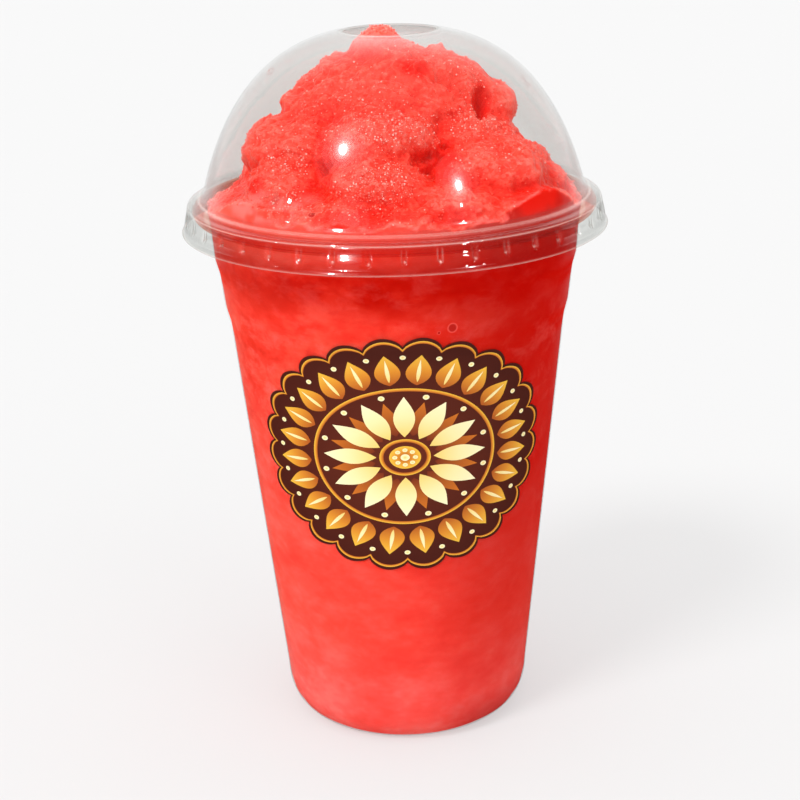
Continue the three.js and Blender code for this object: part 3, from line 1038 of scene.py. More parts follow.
# how deep each point lies in a crease; by it the material paints shade in the creases and light on the knobs
crease = (blurred(reach, CREASE_BLUR) - reach) / MM
pressed = smoothstep(*PRESSED_DEPTHS, (free_reach - limit) / MM)
heap_points = HEAP_CENTRE + along * reach[..., None]
streaks = smooth_noise(heap_points * STREAK_STRETCH, *STREAKS[0])
streaks = streaks + FINE_STREAKS * smooth_noise(heap_points, *STREAKS[1])
foam = smoothstep(*FOAM_EDGE, near(heap_points, *FOAM_PLACE)) * smoothstep(*FOAM_BREAKS, streaks)
rim = bell(free_reach - limit, RIM_WIDTH) * smoothstep(*RIM_BREAKS, streaks)
foam = np.maximum(foam, RIM_SHARE * rim)
ragged = RAGGED_SHARE * smooth_noise(heap_points, *RAGGED)
# syrup spots, and painted shade in the clefts
syrup = np.max([smoothstep(*SYRUP_AND_SHADE_EDGE, near(heap_points, *place) + ragged) for place in SYRUP_AND_SHADE_PLACES], axis=0)
print("crease depths in mm:", np.round(np.percentile(crease, [5, 50, 95]), 2))

# %% [markdown]
# ## The drink as one solid
#
# Below the neck the drink takes the cup's shape, just inside the plastic so that no air shows between them.
# Above the neck it is the heap. They could be two pieces, but light that scatters inside the ice would stop
# at the seam. Both are rings of points with the same columns, so they join into one skin.

# %% Drink
BODY_ROWS = 38


def make_drink(materials):
    """The heap's rings on the cup's. The second material covers what lies against the plastic."""
    azimuths = np.arange(HEAP_COLUMNS) * 2 * np.pi / HEAP_COLUMNS
    wall = thin_out(rounded(wall_outline(CUP_THICKNESS - INTO_WALL), WALL_ROUNDING), BODY_ROWS)
    body = turn(wall[1:-1], azimuths)
    points, faces = closed_skin(np.vstack([body, heap_points[:-1]]), [0, 0, wall[0, 1]], heap_points[-1, 0])
    piece = add_piece("crushed_ice_drink", points, faces, materials[0])
    piece.data.materials.append(materials[1])
    touching = np.vstack([np.ones(body.shape[:2]), pressed[:-1]]).reshape(-1) > 0.5
    behind = np.concatenate([touching[faces[0][:, 0]], np.ones(HEAP_COLUMNS), np.zeros(HEAP_COLUMNS)])
    piece.data.polygons.foreach_set("material_index", behind.astype(np.int32))
    numbers = (("crease", crease, 0), ("pressed", pressed, 1), ("foam", foam, 0), ("syrup", syrup, 0))
    for name, heap_values, body_value in numbers:
        body_values = np.full(body.shape[:2], float(body_value))
        values = np.vstack([body_values, heap_values[:-1]]).ravel()
        add_values(piece, name, np.concatenate([values, [body_value, heap_values[-1, 0]]]))
    return piece


print("the drink's skin will have", BODY_ROWS - 2 + HEAP_ROWS - 1, "rings of", HEAP_COLUMNS, "points")

# %% [markdown]
# ## Crushed ice in strawberry syrup
#
# The drink is millions of small ice grains in red syrup. Light enters it, bounces from grain to grain and
# comes out nearby. A volume with real grains in it would show that, but it takes far too long to render, so
# it is subsurface scattering over about two millimetres, farthest for red.
# On the free heap wet grains glint. Where the ice touches the plastic there is no air between them, so it
# doesn't shine by itself. That makes two materials, and one function gives both the same colours.
# Seen through the wall the ice is deep red under the lid, coral lower down and palest at the foot; the deep red
# under the lid is painted shade of its flange. A darker red on the right and at the right of the foot is
# painted shade, a pale veil on the left is a painted reflection, and torn wisps of paler ice run through it.


# %% Colours behind the plastic
SQUASH = (1, 1, 1.6)
CLOUD_SIZE = 16 * MM
WISP_SIZE = 3.5 * MM
WISP_SHARE = 0.35
MOTTLE = (0.36, 0.5, 0.64)
FOOT_REDS = ("#F64A42", "#FC564E", "#FF6A63")
WALL_REDS = [
    (("#F43E31", "#FB493C", "#FF594D"), (8, 34)),
    (("#EE2A1A", "#FA3C2C", "#FF5442"), (62, 106)),
    # painted shade: the deep red where the lid's flange shades the ice
    (("#B80B03", "#C61408", "#D8281A"), (111, 121)),
    (("#FA4030", "#FF4E3E", "#FF5E50"), (124, 131)),
]
# painted shade on the right side, where less light falls
PAINTED_SHADE_ON_THE_RIGHT = ("#B80803", (-12, 32), (5, 70), (0.45, 0.9))
# painted reflection: a pale veil on the left, for the veil that the wall's edge mirrors
PAINTED_VEIL_ON_THE_LEFT = ("#C8483A", (-15, -38), (80, 105), (0.06, 0.2))
# painted shade at the right of the foot
PAINTED_SHADE_AT_THE_FOOT = ("#A4100C", (4, 22), (11, 2), (0, 0.85))
MARBLE_SIZE = 9 * MM
MARBLE_SHADES = [("#FF8076", (0.5, 0.72), 0.44), ("#CC1206", (0.48, 0.32), 0.37)]
MARBLE_FADES = [("X", (26, -2), 0.25), ("Z", (90, 150), 0.4), ("Z", (186, 170), 0.35)]


def shade_by(tree, value, stops):
    """The shade that belongs to a number, blended between hex colours at given positions."""
    node = add_node(tree, "ValToRGB", {"Fac": value})
    elements = node.color_ramp.elements
    while len(elements) < len(stops):
        elements.new(0.5)
    for element, (position, hex_text) in zip(elements, stops):
        element.position = position
        element.color = colour(hex_text)
    return node


def marbled(tree, level, skin):
    """Faint torn wisps and darker flecks where ice is pressed on the wall, mostly on the left above the middle.
    The heights of their fades are squashed as the pattern is."""
    torn = {"Vector": level, "Scale": 1 / MARBLE_SIZE, "Detail": 7, "Roughness": 0.66, "Distortion": 0.35}
    marble = add_node(tree, "TexNoise", torn)
    parts = add_node(tree, "SeparateXYZ", {"Vector": level})
    strength = 1.0
    for axis, (start, end), least in MARBLE_FADES:
        fade = {"Value": parts.outputs[axis], 1: start * MM, 2: end * MM, 3: least}
        factors = {0: strength, 1: add_node(tree, "MapRange", fade)}
        strength = add_node(tree, "Math", factors, operation="MULTIPLY")
    layers = []
    for shade, levels, most in MARBLE_SHADES:
        part = add_node(tree, "MapRange", {"Value": marble, 1: levels[0], 2: levels[1], 4: most})
        layers.append((add_node(tree, "Math", {0: part, 1: strength}, operation="MULTIPLY"), shade))
    return paint_over(tree, skin, layers)


def ice_behind_plastic(tree, place):
    """Faint clouds of paler ice in syrup, squashed in height. Each red takes over from the one below between
    two heights in mm, and the third is painted shade under the lid. Then come a painted shade on the right, a
    painted reflection as a veil on the left and a painted shade at the right of the foot: each from one place
    across to another, with a share that changes between two heights."""
    level = add_node(tree, "Mapping", {"Vector": place, "Scale": SQUASH})
    clouds = add_node(tree, "TexNoise", {"Vector": level, "Scale": 1 / CLOUD_SIZE, "Detail": 3})
    wisps = add_node(tree, "TexNoise", {"Vector": level, "Scale": 1 / WISP_SIZE, "Detail": 6})
    mottle = add_node(tree, "Mix", {0: WISP_SHARE, 2: clouds, 3: wisps})
    across, _, height = add_node(tree, "SeparateXYZ", {"Vector": place}).outputs
    layers = []
    for reds, (low, high) in WALL_REDS:
        climb = {"Value": height, 1: low * MM, 2: high * MM}
        climb = add_node(tree, "MapRange", climb, interpolation_type="SMOOTHSTEP")
        layers.append((climb, shade_by(tree, mottle, list(zip(MOTTLE, reds)))))
    # painted shade on the right and at the foot, and a painted veil on the left
    for shade, sides, levels, shares in (PAINTED_SHADE_ON_THE_RIGHT, PAINTED_VEIL_ON_THE_LEFT, PAINTED_SHADE_AT_THE_FOOT):
        share = {"Value": height, 1: levels[0] * MM, 2: levels[1] * MM, 3: shares[0], 4: shares[1]}
        aside = {"Value": across, 1: sides[0] * MM, 2: sides[1] * MM, 4: add_node(tree, "MapRange", share)}
        layers.append((add_node(tree, "MapRange", aside, interpolation_type="SMOOTHSTEP"), shade))
    foot = shade_by(tree, mottle, list(zip(MOTTLE, FOOT_REDS)))
    return marbled(tree, level, paint_over(tree, foot, layers))


print("behind plastic the drink has", 1 + len(WALL_REDS), "reds and", len(MARBLE_SHADES), "shades of marbling")

# %% [markdown]
# ## The open heap
#
# On the heap the creases are a deep red and the knobs are pale, partly painted shade in the creases and painted
# light on the knobs. Each grain is a little different, and the ice is paler towards the top. Noise alone would
# put pale and dark anywhere, so the crease number leads and two patterns at the sizes of knobs and grains break
# it up.

# %% Colours of the open heap
KNOB_SIZE, KNOB_SHARE = 3.2 * MM, 0.42
GRAIN_SIZE, GRAIN_SHARE = 0.75 * MM, 0.28
# crease depths over which painted shade in a crease turns to painted light on a knob
CREASE_SHADE_DEPTHS = (1.5, -1.3)
HEAP_REDS = [(0.26, "#EC2616"), (0.42, "#FA3C2C"), (0.6, "#FF4E3F"), (0.8, "#FF7264")]
PALER_TOP = "#FFA298"
PALER_TOP_SHARE = 0.13
PALER_TOP_LEVELS = (150 * MM, 173 * MM)


def ice_in_air(tree, place, crease_value):
    """Deep red in the creases, partly syrup and partly painted shade, and pale on the knobs as painted light;
    mottled from grain to grain and paler towards the top.
    """
    knobs = add_node(tree, "TexNoise", {"Vector": place, "Scale": 1 / KNOB_SIZE, "Detail": 4})
    grains = add_node(tree, "TexVoronoi", {"Vector": place, "Scale": 1 / GRAIN_SIZE}, feature="F1")
    tone = add_node(tree, "SeparateColor", {"Color": grains.outputs["Color"]})
    # painted shade in the creases and painted light on the knobs
    painted_knob_light = add_node(tree, "MapRange", {"Value": crease_value, 1: CREASE_SHADE_DEPTHS[0], 2: CREASE_SHADE_DEPTHS[1]})
    uneven = add_node(tree, "Mix", {0: KNOB_SHARE, 2: painted_knob_light, 3: knobs})
    grainy = add_node(tree, "Mix", {0: GRAIN_SHARE, 2: uneven, 3: tone})
    height = add_node(tree, "SeparateXYZ", {"Vector": place}).outputs["Z"]
    top = {"Value": height, 1: PALER_TOP_LEVELS[0], 2: PALER_TOP_LEVELS[1], 4: PALER_TOP_SHARE}
    return paint_over(tree, shade_by(tree, grainy, HEAP_REDS), [(add_node(tree, "MapRange", top), PALER_TOP)])


print("the top drains from", round(PALER_TOP_LEVELS[0] / MM), "mm up to", round(PALER_TOP_LEVELS[1] / MM), "mm up")

# %% [markdown]
# ## Two finishes for one drink
#
# Over those reds come the spots where syrup has sunk in, which in the clefts are also painted shade, the smear
# of pale foam, and air bubbles that lie on the wall. The bubbles could be cut into the mesh, but they are flat
# against the plastic, so they are discs of colour. Grit that is too fine for the mesh is a bump a third of a
# millimetre deep on the open heap.

# %% Materials of the drink
# the red of the syrup spots, which in the clefts is also painted shade
SYRUP_AND_SHADE_RED = "#E81A0C"
SOAKED_AND_SHADED_SHARE = 0.8
FOAM = "#F8726A"
BUBBLES = [
    ((12.3, -40.8, 112.2), 1.0),
    ((9.2, -41.5, 111.3), 0.35),
    ((19.9, -35.3, 98.9), 1.15),
    ((-18.3, -39, 138.6), 0.9),
]
BUBBLE_SHADES = [("#FF8074", 1.35, 0.35), ("#B80C06", 1.05, 0.85)]
BUBBLE_EDGE = 0.25
ICE_IOR = 1.31
WET_SHINE = {"Roughness": 0.3, "Specular IOR Level": 0.25}
NO_SHINE = {"Roughness": 1.0, "Specular IOR Level": 0.0}
SCATTER_SHARE = 0.9
SCATTER_DEPTH = 2.1 * MM
SCATTER_BY_COLOUR = (1.0, 0.25, 0.17)
GRIT_SIZE = 0.7 * MM
GRIT_DEPTH = 0.35 * MM


def bubble_layers(tree, place):
    """Air bubbles that lie on the plastic: each is a dark disc of syrup in a faint pale ring."""
    layers = []
    for middle, radius in BUBBLES:
        for shade, edge, share in BUBBLE_SHADES:
            outer, inner = edge * radius * MM, (edge - BUBBLE_EDGE) * radius * MM
            layers.append((share_in_ball(tree, place, middle, outer, inner, share), shade))
    return layers


def crushed_ice(name, shine, gritty):
    """Crushed ice in syrup: coral red from scattering. Wet, it glints, and against plastic it can't shine."""
    material, tree = new_material(name)
    place = place_in(tree)[0]
    crease_value, pressed_value, foam_value, syrup_and_shade_value = (
        add_node(tree, "Attribute", attribute_name=number).outputs["Fac"]
        for number in ("crease", "pressed", "foam", "syrup")
    )
    # syrup spots, also painted shade in the clefts
    soaked_and_shaded = add_node(tree, "Math", {0: syrup_and_shade_value, 1: SOAKED_AND_SHADED_SHARE}, operation="MULTIPLY")
    layers = [(pressed_value, ice_behind_plastic(tree, place)), (soaked_and_shaded, SYRUP_AND_SHADE_RED), (foam_value, FOAM)]
    layers += bubble_layers(tree, place)
    ice = {
        "Base Color": paint_over(tree, ice_in_air(tree, place, crease_value), layers),
        "IOR": ICE_IOR,
        "Subsurface Weight": SCATTER_SHARE,
        "Subsurface Radius": SCATTER_BY_COLOUR,
        "Subsurface Scale": SCATTER_DEPTH,
    }
    if gritty:
        grit = add_node(tree, "TexNoise", {"Vector": place, "Scale": 1 / GRIT_SIZE, "Detail": 2})
        ice["Normal"] = add_node(tree, "Bump", {"Strength": 1.0, "Distance": GRIT_DEPTH, "Height": grit})
    shader = add_node(tree, "BsdfPrincipled", {**ice, **shine})
    add_node(tree, "OutputMaterial", {"Surface": shader})
    return material


wet_ice = crushed_ice("crushed_ice_wet", WET_SHINE, gritty=True)
pressed_ice = crushed_ice("crushed_ice_against_plastic", NO_SHINE, gritty=False)
drink = make_drink([wet_ice, pressed_ice])
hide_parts("smoothie")

# %% [markdown]
# ## Loose ice grains
#
# Up close the heap glitters: single grains of ice stand out of it and each turns its facets another way. A
# fine bump in the finish only makes an even sparkle. Several thousand small icosahedra are therefore set half
# into the free surface, thickly in some patches and thinly elsewhere, each stretched and turned at random.
# They are flat shaded, so every facet can flash by itself. All of them are one piece.

# %% Places of the ice grains
GRAIN_COUNT = 7800
GRAIN_SHIFT = 0.12 * MM
ICE_PATCHES = (9 * MM, 31)
PATCH_EDGE = (-0.1, 0.5)
ANYWHERE, IN_PATCHES, IN_SPARKLING = 0.06, 0.5, 1.05
CREASE_EASE = (1.6, 0.2)
SPARKLING_PLACES = [
    ((-5, -37, 145), (12, 10, 9)),
    ((-2, -28, 155), (15, 12, 6)),
    ((18, -19, 155), (10, 10, 5)),
    ((-22, -36, 141), (10, 8, 4)),
    ((-24, -26, 148), (9, 9, 5)),
]
SPARKLING_EDGE = (0.0, 0.6)


def grain_places(random):
    """Points of the free heap, drawn with a chance that grows with their area and with a patchy noise, and how
    much each is in a sparkling place."""
    area = np.cos(np.linspace(LOWEST, np.pi / 2, HEAP_ROWS))[:, None] * (reach / MM) ** 2
    patches = smoothstep(*PATCH_EDGE, smooth_noise(heap_points, *ICE_PATCHES))
    spots = [smoothstep(*SPARKLING_EDGE, near(heap_points, *place)) for place in SPARKLING_PLACES]
    named = np.max(spots, axis=0)
    density = ANYWHERE + IN_PATCHES * patches + IN_SPARKLING * named
    chance = (area * density * (1 - pressed) * smoothstep(*CREASE_EASE, crease)).ravel()
    chosen = random.choice(chance.size, GRAIN_COUNT, replace=False, p=chance / chance.sum())
    places = heap_points.reshape(-1, 3)[chosen]
    return places + random.normal(0, GRAIN_SHIFT, places.shape), named.ravel()[chosen]


print("sparkling places are named at", len(SPARKLING_PLACES), "spots of the heap")

# %% [markdown]
# ## Facets
#
# A grain only has to be a facet or two that flash. A ball would need many faces for that and a cube looks
# like a cube, so each is an icosahedron of twenty triangles, pulled out of shape and turned at random.

# %% Ice grains
GRAIN_RADIUS = (0.1 * MM, 0.27 * MM)
GRAIN_STRETCH = (0.6, 1.3)
GRAIN_ROUGHNESS = 0.1
# whites of the grains: partly frosty ice, partly painted glint in the sparkling places
FROST_AND_GLINT_SHADES = [(0, "#FF5A4A"), (0.6, "#FF7062"), (0.88, "#FF9084"), (1, "#FFCEC4")]
WHITER_WHERE_SPARKLING = 0.6
GOLDEN = (1 + 5**0.5) / 2
LONGEST_SIDE = 1.2


def icosahedron():
    """Twelve points of length 1, and the twenty triangles that join each to its nearest, facing out."""
    signs = np.array([(a, b * GOLDEN) for a in (-1, 1) for b in (-1, 1)])
    flat = np.column_stack([np.zeros(4), signs])
    points = np.vstack([np.roll(flat, turns, axis=1) for turns in range(3)]) / np.hypot(1, GOLDEN)
    faces = []
    for a in range(12):
        for b in range(a + 1, 12):
            for c in range(b + 1, 12):
                sides = [np.linalg.norm(points[i] - points[j]) for i, j in ((a, b), (b, c), (c, a))]
                if max(sides) < LONGEST_SIDE:
                    outward = np.cross(points[b] - points[a], points[c] - points[a]) @ points[a] > 0
                    faces.append((a, b, c) if outward else (a, c, b))
    return points, np.array(faces)


def random_turns(random, count):
    """Rotation matrices from random unit quaternions."""
    w, x, y, z = random.normal(size=(4, count))
    length = np.sqrt(w * w + x * x + y * y + z * z)
    w, x, y, z = w / length, x / length, y / length, z / length
    rows = [
        [1 - 2 * (y * y + z * z), 2 * (x * y - z * w), 2 * (x * z + y * w)],
        [2 * (x * y + z * w), 1 - 2 * (x * x + z * z), 2 * (y * z - x * w)],
        [2 * (x * z - y * w), 2 * (y * z + x * w), 1 - 2 * (x * x + y * y)],
    ]
    return np.moveaxis(np.array(rows), 2, 0)


def ice_grain():
    """Clear wet ice: a smooth facet that flashes, tinted by the syrup, and whiter on some grains, partly as
    frosty ice and partly as painted glint.
    """
    material, tree = new_material("wet_ice_grain")
    frost_and_glint = add_node(tree, "Attribute", attribute_name="frost_and_glint").outputs["Fac"]
    shade = shade_by(tree, frost_and_glint, FROST_AND_GLINT_SHADES)
    look = {"Base Color": shade, "Roughness": GRAIN_ROUGHNESS, "IOR": ICE_IOR}
    add_node(tree, "OutputMaterial", {"Surface": add_node(tree, "BsdfPrincipled", look)})
    return material


def make_grains():
    """Each grain is the icosahedron times its three sizes, turned, and moved to its place. Its whiteness,
    partly frosty ice and partly painted glint, is a draw from 0 to 1, to a power below 1 in the sparkling
    places, which makes it whiter there."""
    random = np.random.default_rng(5)
    corners, faces = icosahedron()
    places, sparkling = grain_places(random)
    stretch = (GRAIN_COUNT, 1, 3)
    sizes = random.uniform(*GRAIN_RADIUS, (GRAIN_COUNT, 1, 1)) * random.uniform(*GRAIN_STRETCH, stretch)
    points = (corners * sizes) @ random_turns(random, GRAIN_COUNT) + places[:, None]
    all_faces = faces + len(corners) * np.arange(GRAIN_COUNT)[:, None, None]
    piece = add_piece("ice_grains", points, [all_faces.reshape(-1, 3)], ice_grain())
    piece.data.shade_flat()
    # how white each grain is, partly frosty ice and partly painted glint
    frost_and_glint = random.uniform(0, 1, GRAIN_COUNT) ** (1 - WHITER_WHERE_SPARKLING * sparkling)
    add_values(piece, "frost_and_glint", np.repeat(frost_and_glint, len(corners)))


make_grains()

# %% [markdown]
# ## A printed rosette
#
# The front of the cup carries screen-printed ink: a scalloped rosette of leaves and petals, in dark brown,
# gold, orange and cream. An image texture would blur close up, so the ink is thin pieces with sharp edges. It
# is drawn flat in millimetres to the right and up, and then laid round the wall. Each layer of ink lies a few
# hundredths of a millimetre over the one below.

# %% Laying flat shapes on the wall
PRINT_HEIGHT = 80.5 * MM
PRINT_AZIMUTH = np.radians(1.2)
PRINT_SCALE = (1.2, 0.94)
INK_STEP = 0.03 * MM
LOBE_POWER = 0.7
LEAF_ENDS = (0.004, 0.996)
PINHOLE = 0.02


def on_wall(flat, layer):
    """Lays points (right, up) in mm on the wall: the angle is the way right over the wall's radius there."""
    right, up = flat[..., 0] * PRINT_SCALE[0] * MM, flat[..., 1] * PRINT_SCALE[1] * MM
    height = PRINT_HEIGHT + up
    radius = wall_radius(height)
    azimuth = PRINT_AZIMUTH + right / radius
    radius = radius + (layer + 2) * INK_STEP
    return np.stack([radius * np.sin(azimuth), -radius * np.cos(azimuth), height], axis=-1)


def polar(radius, angle):
    """Flat points at a radius in mm and an angle measured clockwise from straight up."""
    return np.stack([radius * np.sin(angle), radius * np.cos(angle)], axis=-1)


def scallop(radius, depth, lobes, angle):
    """A circle with outward lobes: radius + depth |sin(lobes angle / 2)|^0.7."""
    return radius + depth * np.abs(np.sin(lobes * angle / 2)) ** LOBE_POWER


def band(inner, outer, rows, columns=288):
    """A closed band between two radii, each a number or a function of the angle."""
    angle = np.linspace(0, 2 * np.pi, columns + 1)
    low = inner(angle) if callable(inner) else inner
    high = outer(angle) if callable(outer) else outer
    share = np.linspace(0, 1, rows)[:, None]
    return polar(low + (high - low) * share + 0 * angle, angle + 0 * share)


def petal(angle, start, end, half_width, blunt=0.75, rows=13, columns=9):
    """A leaf along the radius: its half width is half_width sin(pi t^blunt), with t from 0 to 1 along it."""
    along, side = np.meshgrid(np.linspace(0, 1, rows), np.linspace(-1, 1, columns), indexing="ij")
    width = half_width * np.sin(np.pi * np.clip(along, *LEAF_ENDS) ** blunt)
    up = start + (end - start) * along
    across = side * width
    right = up * np.sin(angle) + across * np.cos(angle)
    return np.stack([right, up * np.cos(angle) - across * np.sin(angle)], -1)


def dot(angle, distance, radius, columns=16):
    """A small disc, with a pinhole in place of its middle point."""
    return polar(distance, angle) + band(PINHOLE * radius, radius, 3, columns)


print("the rosette's middle lies at", np.round(on_wall(np.zeros(2), 0) / MM, 1), "mm")

# %% [markdown]
# ## The rosette in four inks
#
# Screen print is laid down one ink at a time. So each ink is one piece, and it joins all shapes of its
# colour. The ink is shaded from dark to light within a shape. A gradient on the object's place would run
# across the whole rosette, so a number along each shape's own rows leads its colour. The sizes below are
# radii in mm from the rosette's middle: where a shape starts and ends, and its half width or its depth.


# %% Inks and sizes of the rosette
INK_ROUGHNESS = 0.35
LOBES = 24
PETALS = 12
BASE = (2, 29.8, 2.4)
GOLD_EDGE = ((28.4, 2.3), (29.0, 2.35))
GOLD_RINGS = [(17.9, 18.7), (4.2, 5.0)]
GOLD_LEAF = (19.6, 27.6, 2.5)
LEAF_VEIN = (20.4, 26.4, 0.4)
CREAM_PETAL = (5.6, 16.4, 2.1)
ORANGE_PETAL = (6, 15.2, 1.6)
HEART_DOTS = 8
EDGE_DOT, RING_DOT, HEART_DOT = (26.9, 0.6), (16.6, 0.65), (2.0, 0.5)
GOLD_HEART, CREAM_HEART = 3.1, 0.9


def ink(name, stops):
    """Screen-printed ink, slightly glossy. Its colour runs along each shape by the number `tone`."""
    material, tree = new_material(name)
    tone = add_node(tree, "Attribute", attribute_name="tone").outputs["Fac"]
    look = {"Base Color": shade_by(tree, tone, stops), "Roughness": INK_ROUGHNESS}
    add_node(tree, "OutputMaterial", {"Surface": add_node(tree, "BsdfPrincipled", look)})
    return material


brown = ink("printed_ink_brown", [(0, "#6A240C"), (1, "#4C1609")])
gold = ink("printed_ink_gold", [(0, "#B4520E"), (0.45, "#DD8A1C"), (1, "#F6BE38")])
orange = ink("printed_ink_orange", [(0, "#7E2A0A"), (1, "#D2700F")])
cream = ink("printed_ink_cream", [(0, "#F7D06A"), (0.5, "#FCE9A8"), (1, "#FFF3C4")])
print("inks:", brown.name, gold.name, orange.name, cream.name)

# %% [markdown]
# ## Shapes round a circle
#
# Such an ornament repeats its shapes at equal angles. An Array modifier turned round an empty object could do
# that, but the empty would have to stay in the scene. So every shape is drawn at its own angle straight away,
# and all grids of one ink are joined into one mesh.


# %% Print pieces
def print_piece(name, layer, shapes, material):
    """Joins flat grids into one piece of ink. Each is turned to face out, and tone runs over its rows."""
    points, faces, tones, start = [], [], [], 0
    for shape in shapes:
        rows, columns = shape.shape[:2]
        quads = grid_faces(rows, columns, wrap_columns=False) + start
        row, column = (rows - 1) // 2, (columns - 1) // 2
        across = shape[row, column + 1] - shape[row, column]
        onward = shape[row + 1, column] - shape[row, column]
        if across[0] * onward[1] - across[1] * onward[0] < 0:
            quads = quads[:, ::-1]
        points.append(on_wall(shape, layer).reshape(-1, 3))
        faces.append(quads)
        tones.append(np.repeat(np.linspace(0, 1, rows), columns))
        start += rows * columns
    piece = add_piece(name, np.vstack(points), faces, material)
    add_values(piece, "tone", np.concatenate(tones))


def around(count, shift=0.0):
    """Equal angles round the circle."""
    return (np.arange(count) + shift) * 2 * np.pi / count


hole, radius, depth = BASE
print_piece("print_base", 0, [band(hole, lambda a: scallop(radius, depth, LOBES, a), 44)], brown)

gold_shapes = [band(*(lambda a, edge=edge: scallop(*edge, LOBES, a) for edge in GOLD_EDGE), 2)]
gold_shapes += [band(*GOLD_RINGS[0], 2)]
gold_shapes += [petal(angle, *GOLD_LEAF) for angle in around(LOBES, 0.5)]
gold_shapes += [band(*GOLD_RINGS[1], 2), dot(0, 0, GOLD_HEART, 48)]
print_piece("print_gold", 1, gold_shapes, gold)

orange_shapes = [petal(angle, *ORANGE_PETAL) for angle in around(PETALS, 0.5)]
print_piece("print_orange", 1, orange_shapes, orange)

cream_shapes = [petal(angle, *CREAM_PETAL, blunt=0.9) for angle in around(PETALS)]
cream_shapes += [petal(angle, *LEAF_VEIN, columns=3) for angle in around(LOBES, 0.5)]
cream_shapes += [dot(angle, *EDGE_DOT) for angle in around(LOBES)]
cream_shapes += [dot(angle, *RING_DOT) for angle in around(PETALS, 0.5)]
cream_shapes += [dot(angle, *HEART_DOT) for angle in around(HEART_DOTS)]
cream_shapes += [dot(0, 0, CREAM_HEART)]
print_piece("print_cream", 2, cream_shapes, cream)

# %% [markdown]
# ## What the camera sees and what mirrors see
#
# The photo was taken against a plain pale ground in even light. One world colour for everything would also
# be mirrored in the plastic and veil the drink. So reflections see a darker room than the camera does: dark
# in front and bright behind, which keeps the plastic clear at the front and draws its edges. A ray that was
# mirrored more than once has gathered light from all round, so it is bright in any case.

# %% World
SEEN = "#F7F7F7"
AMBIENT = (0.6, 1.5)
AMBIENT_HEIGHTS = (0.1, 0.9)
MIRRORED_FRONT = 0.04
MIRRORED_BACK = 0.97
BACK_FROM = (0.4, 0.8)
GATHERED = 0.78
MOST_CLEAR_FACES = 24


def mirrored(tree, times):
    """1 for a ray that has been mirrored at least so many times on its way, and 0 for any other."""
    count = {0: add_node(tree, "LightPath").outputs["Glossy Depth"], 1: times - 0.5}
    return add_node(tree, "Math", count, operation="GREATER_THAN")


def other_for_mirrors(tree, plain, kind, value, levels, brightest):
    """The plain look, except for mirrored rays. They see a light of that kind, dark up to one value and bright
    from another, and evenly bright after a second mirroring."""
    once = {"Value": value, 1: levels[0], 2: levels[1], 3: MIRRORED_FRONT, 4: brightest}
    brightness = {0: mirrored(tree, 2), 2: add_node(tree, "MapRange", once), 3: GATHERED}
    dim = add_node(tree, kind, {"Color": "#FFFFFF", "Strength": add_node(tree, "Mix", brightness)})
    return add_node(tree, "MixShader", {0: mirrored(tree, 1), 1: plain, 2: dim})


def make_world():
    """Pale for the camera, a soft sky for surfaces, brighter above, and the darker room for mirrors."""
    world = bpy.data.worlds.new("studio")
    world.use_nodes = True
    tree = world.node_tree
    tree.nodes.clear()
    rays = add_node(tree, "LightPath")
    either = {0: rays.outputs["Is Camera Ray"], 1: rays.outputs["Is Transmission Ray"]}
    seen = add_node(tree, "Math", either, operation="MAXIMUM")
    direction = add_node(tree, "TexCoord").outputs["Generated"]
    parts = add_node(tree, "SeparateXYZ", {"Vector": direction})
    heights = {1: AMBIENT_HEIGHTS[0], 2: AMBIENT_HEIGHTS[1], 3: AMBIENT[0], 4: AMBIENT[1]}
    sky = add_node(tree, "MapRange", {"Value": parts.outputs["Z"], **heights})
    ambient = add_node(tree, "Background", {"Color": "#FFFFFF", "Strength": sky})
    pale = add_node(tree, "Background", {"Color": SEEN, "Strength": 1.0})
    direct = add_node(tree, "MixShader", {0: seen, 1: ambient, 2: pale})
    shown = other_for_mirrors(tree, direct, "Background", parts.outputs["Y"], BACK_FROM, MIRRORED_BACK)
    add_node(tree, "OutputWorld", {"Surface": shown})
    bpy.context.scene.world = world


make_world()
bpy.context.scene.view_settings.view_transform = "Standard"
bpy.context.scene.cycles.transparent_max_bounces = MOST_CLEAR_FACES
print("the world is made, and a ray may pass", MOST_CLEAR_FACES, "clear faces")

# %% [markdown]
# ## The floor
#
# The cup stands on a pale surface that fades into the ground without a line, with only a soft shadow. A plain
# white floor would go grey with distance. So it is partly white paint, which takes the shadow, and partly a
# glow of its own, which evens it out. Mirrors see its front dark and its back bright, like the room.

# %% Floor
FLOOR_SIDE = 12.0
FLOOR_GLOW = 0.5
FLOOR_WHITE = 0.26
MIRRORED_FLOOR = 0.8
FLOOR_BACK_FROM = (0.15, 0.75)


def make_floor():
    """A square in the plane that the cup stands on. It isn't part of the object."""
    half = FLOOR_SIDE / 2
    mesh = bpy.data.meshes.new("floor")
    corners = [(-half, -half, 0), (half, -half, 0), (half, half, 0), (-half, half, 0)]
    mesh.from_pydata(corners, [], [(0, 1, 2, 3)])
    floor = bpy.data.objects.new("floor", mesh)
    bpy.context.scene.collection.objects.link(floor)
    material, tree = new_material("pale_floor")
    white = add_node(tree, "BsdfDiffuse", {"Color": (FLOOR_WHITE,) * 3 + (1,)})
    glow = add_node(tree, "Emission", {"Color": "#FFFFFF", "Strength": FLOOR_GLOW})
    both = add_node(tree, "AddShader", {0: white, 1: glow})
    behind = place_in(tree)[2]
    shown = other_for_mirrors(tree, both, "Emission", behind, FLOOR_BACK_FROM, MIRRORED_FLOOR)
    add_node(tree, "OutputMaterial", {"Surface": shown})
    mesh.materials.append(material)


make_floor()
print("the floor is", FLOOR_SIDE, "m wide")

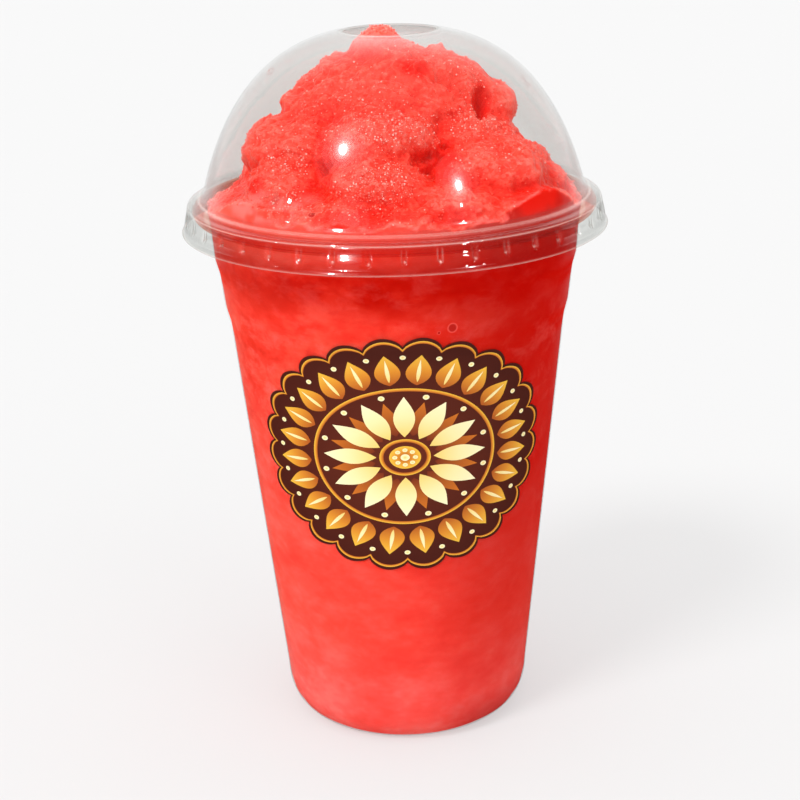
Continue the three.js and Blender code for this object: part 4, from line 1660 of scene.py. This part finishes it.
# %% [markdown]
# ## Lamps
#
# One soft lamp from the upper left gives the heap its shade, and a weaker one fills from the right. Such
# wide lamps would blur all over the plastic, so mirrors don't see them. The sharp highlights come from small
# bright discs that only mirrors see, so the drink's colour doesn't depend on them. Round the largest of them
# lie wider and fainter discs, for the glow that a real lamp has round it. A lamp of this kind could be moved
# by hand until its highlight sits right; here its place was worked out from where the photo shows it.

# %% Lamps
KEY_DIRECTION = np.array([-0.46, -0.46, 0.76])
KEY_STRENGTH = 1.7
KEY_ANGLE = np.radians(17)
FILL_DIRECTION = np.array([0.5, -0.62, 0.6])
FILL_STRENGTH = 0.45
FILL_ANGLE = np.radians(40)
GLINTS = {
    "main": ((-293, -375, 563), 24, 240),
    "second": ((376, -440, 409), 17, 160),
    "skirt_left": ((-278, -571, 254), 18, 100),
    "skirt_right": ((370, -517, 249), 10, 80),
    "small_left": ((-549, -264, 321), 8, 40),
    "small_right": ((448, -433, 287), 9, 40),
    "trail": ((388, -468, 341), 7, 30),
}
GLOWING = ("main", "second", "skirt_left")
GLOW_WIDTHS = (1.2, 1.45, 1.8, 2.3, 3, 4.2, 6, 9)
GLOW_RADIANCE = 4.2
GLOW_FADE = 1.4
GLOW_STEP = 0.01
UP_THE_DOME = np.array([0, 0, 145]) * MM


def add_lamp(name, kind, place, target, unseen_by, **settings):
    """Adds a lamp and turns its -Z axis towards a target. Some kinds of rays don't see it."""
    data = bpy.data.lights.new(name, kind)
    for setting, value in settings.items():
        setattr(data, setting, value)
    lamp = bpy.data.objects.new(name, data)
    bpy.context.scene.collection.objects.link(lamp)
    for ray in unseen_by:
        setattr(lamp, "visible_" + ray, False)
    back = (place - target) / np.linalg.norm(place - target)
    side = np.cross([0, 0, 1], back)
    side /= np.linalg.norm(side)
    up = np.cross(back, side)
    lamp.matrix_world = Matrix([[side[i], up[i], back[i], place[i]] for i in range(3)] + [[0, 0, 0, 1]])


def add_sun(name, direction, strength, angle):
    """A wide far lamp that only lights surfaces and shows in no mirror."""
    unseen_by = ("camera", "glossy", "transmission")
    add_lamp(name, "SUN", direction, np.zeros(3), unseen_by, energy=strength, angle=angle)


def add_glint(name, place, radius, radiance):
    """A disc that only mirrors see, its place and radius in mm. Its power is radiance times pi times area."""
    power = radiance * np.pi * np.pi * (radius * MM) ** 2
    unseen_by = ("camera", "diffuse", "transmission")
    disc = {"shape": "DISK", "size": 2 * radius * MM, "energy": power}
    add_lamp("glint_" + name, "AREA", np.array(place) * MM, UP_THE_DOME, unseen_by, **disc)


def make_lamps():
    """Two suns, the glints, and behind some of them a row of ever wider and fainter discs."""
    add_sun("key", KEY_DIRECTION, KEY_STRENGTH, KEY_ANGLE)
    add_sun("fill", FILL_DIRECTION, FILL_STRENGTH, FILL_ANGLE)
    for name, (place, radius, radiance) in GLINTS.items():
        add_glint(name, place, radius, radiance)
        if name in GLOWING:
            for step, width in enumerate(GLOW_WIDTHS):
                farther = np.array(place) * (1 + GLOW_STEP * (step + 1))
                add_glint(f"{name}_glow_{step}", farther, radius * width, GLOW_RADIANCE / width**GLOW_FADE)


make_lamps()
print("lamps:", len(bpy.data.lights))
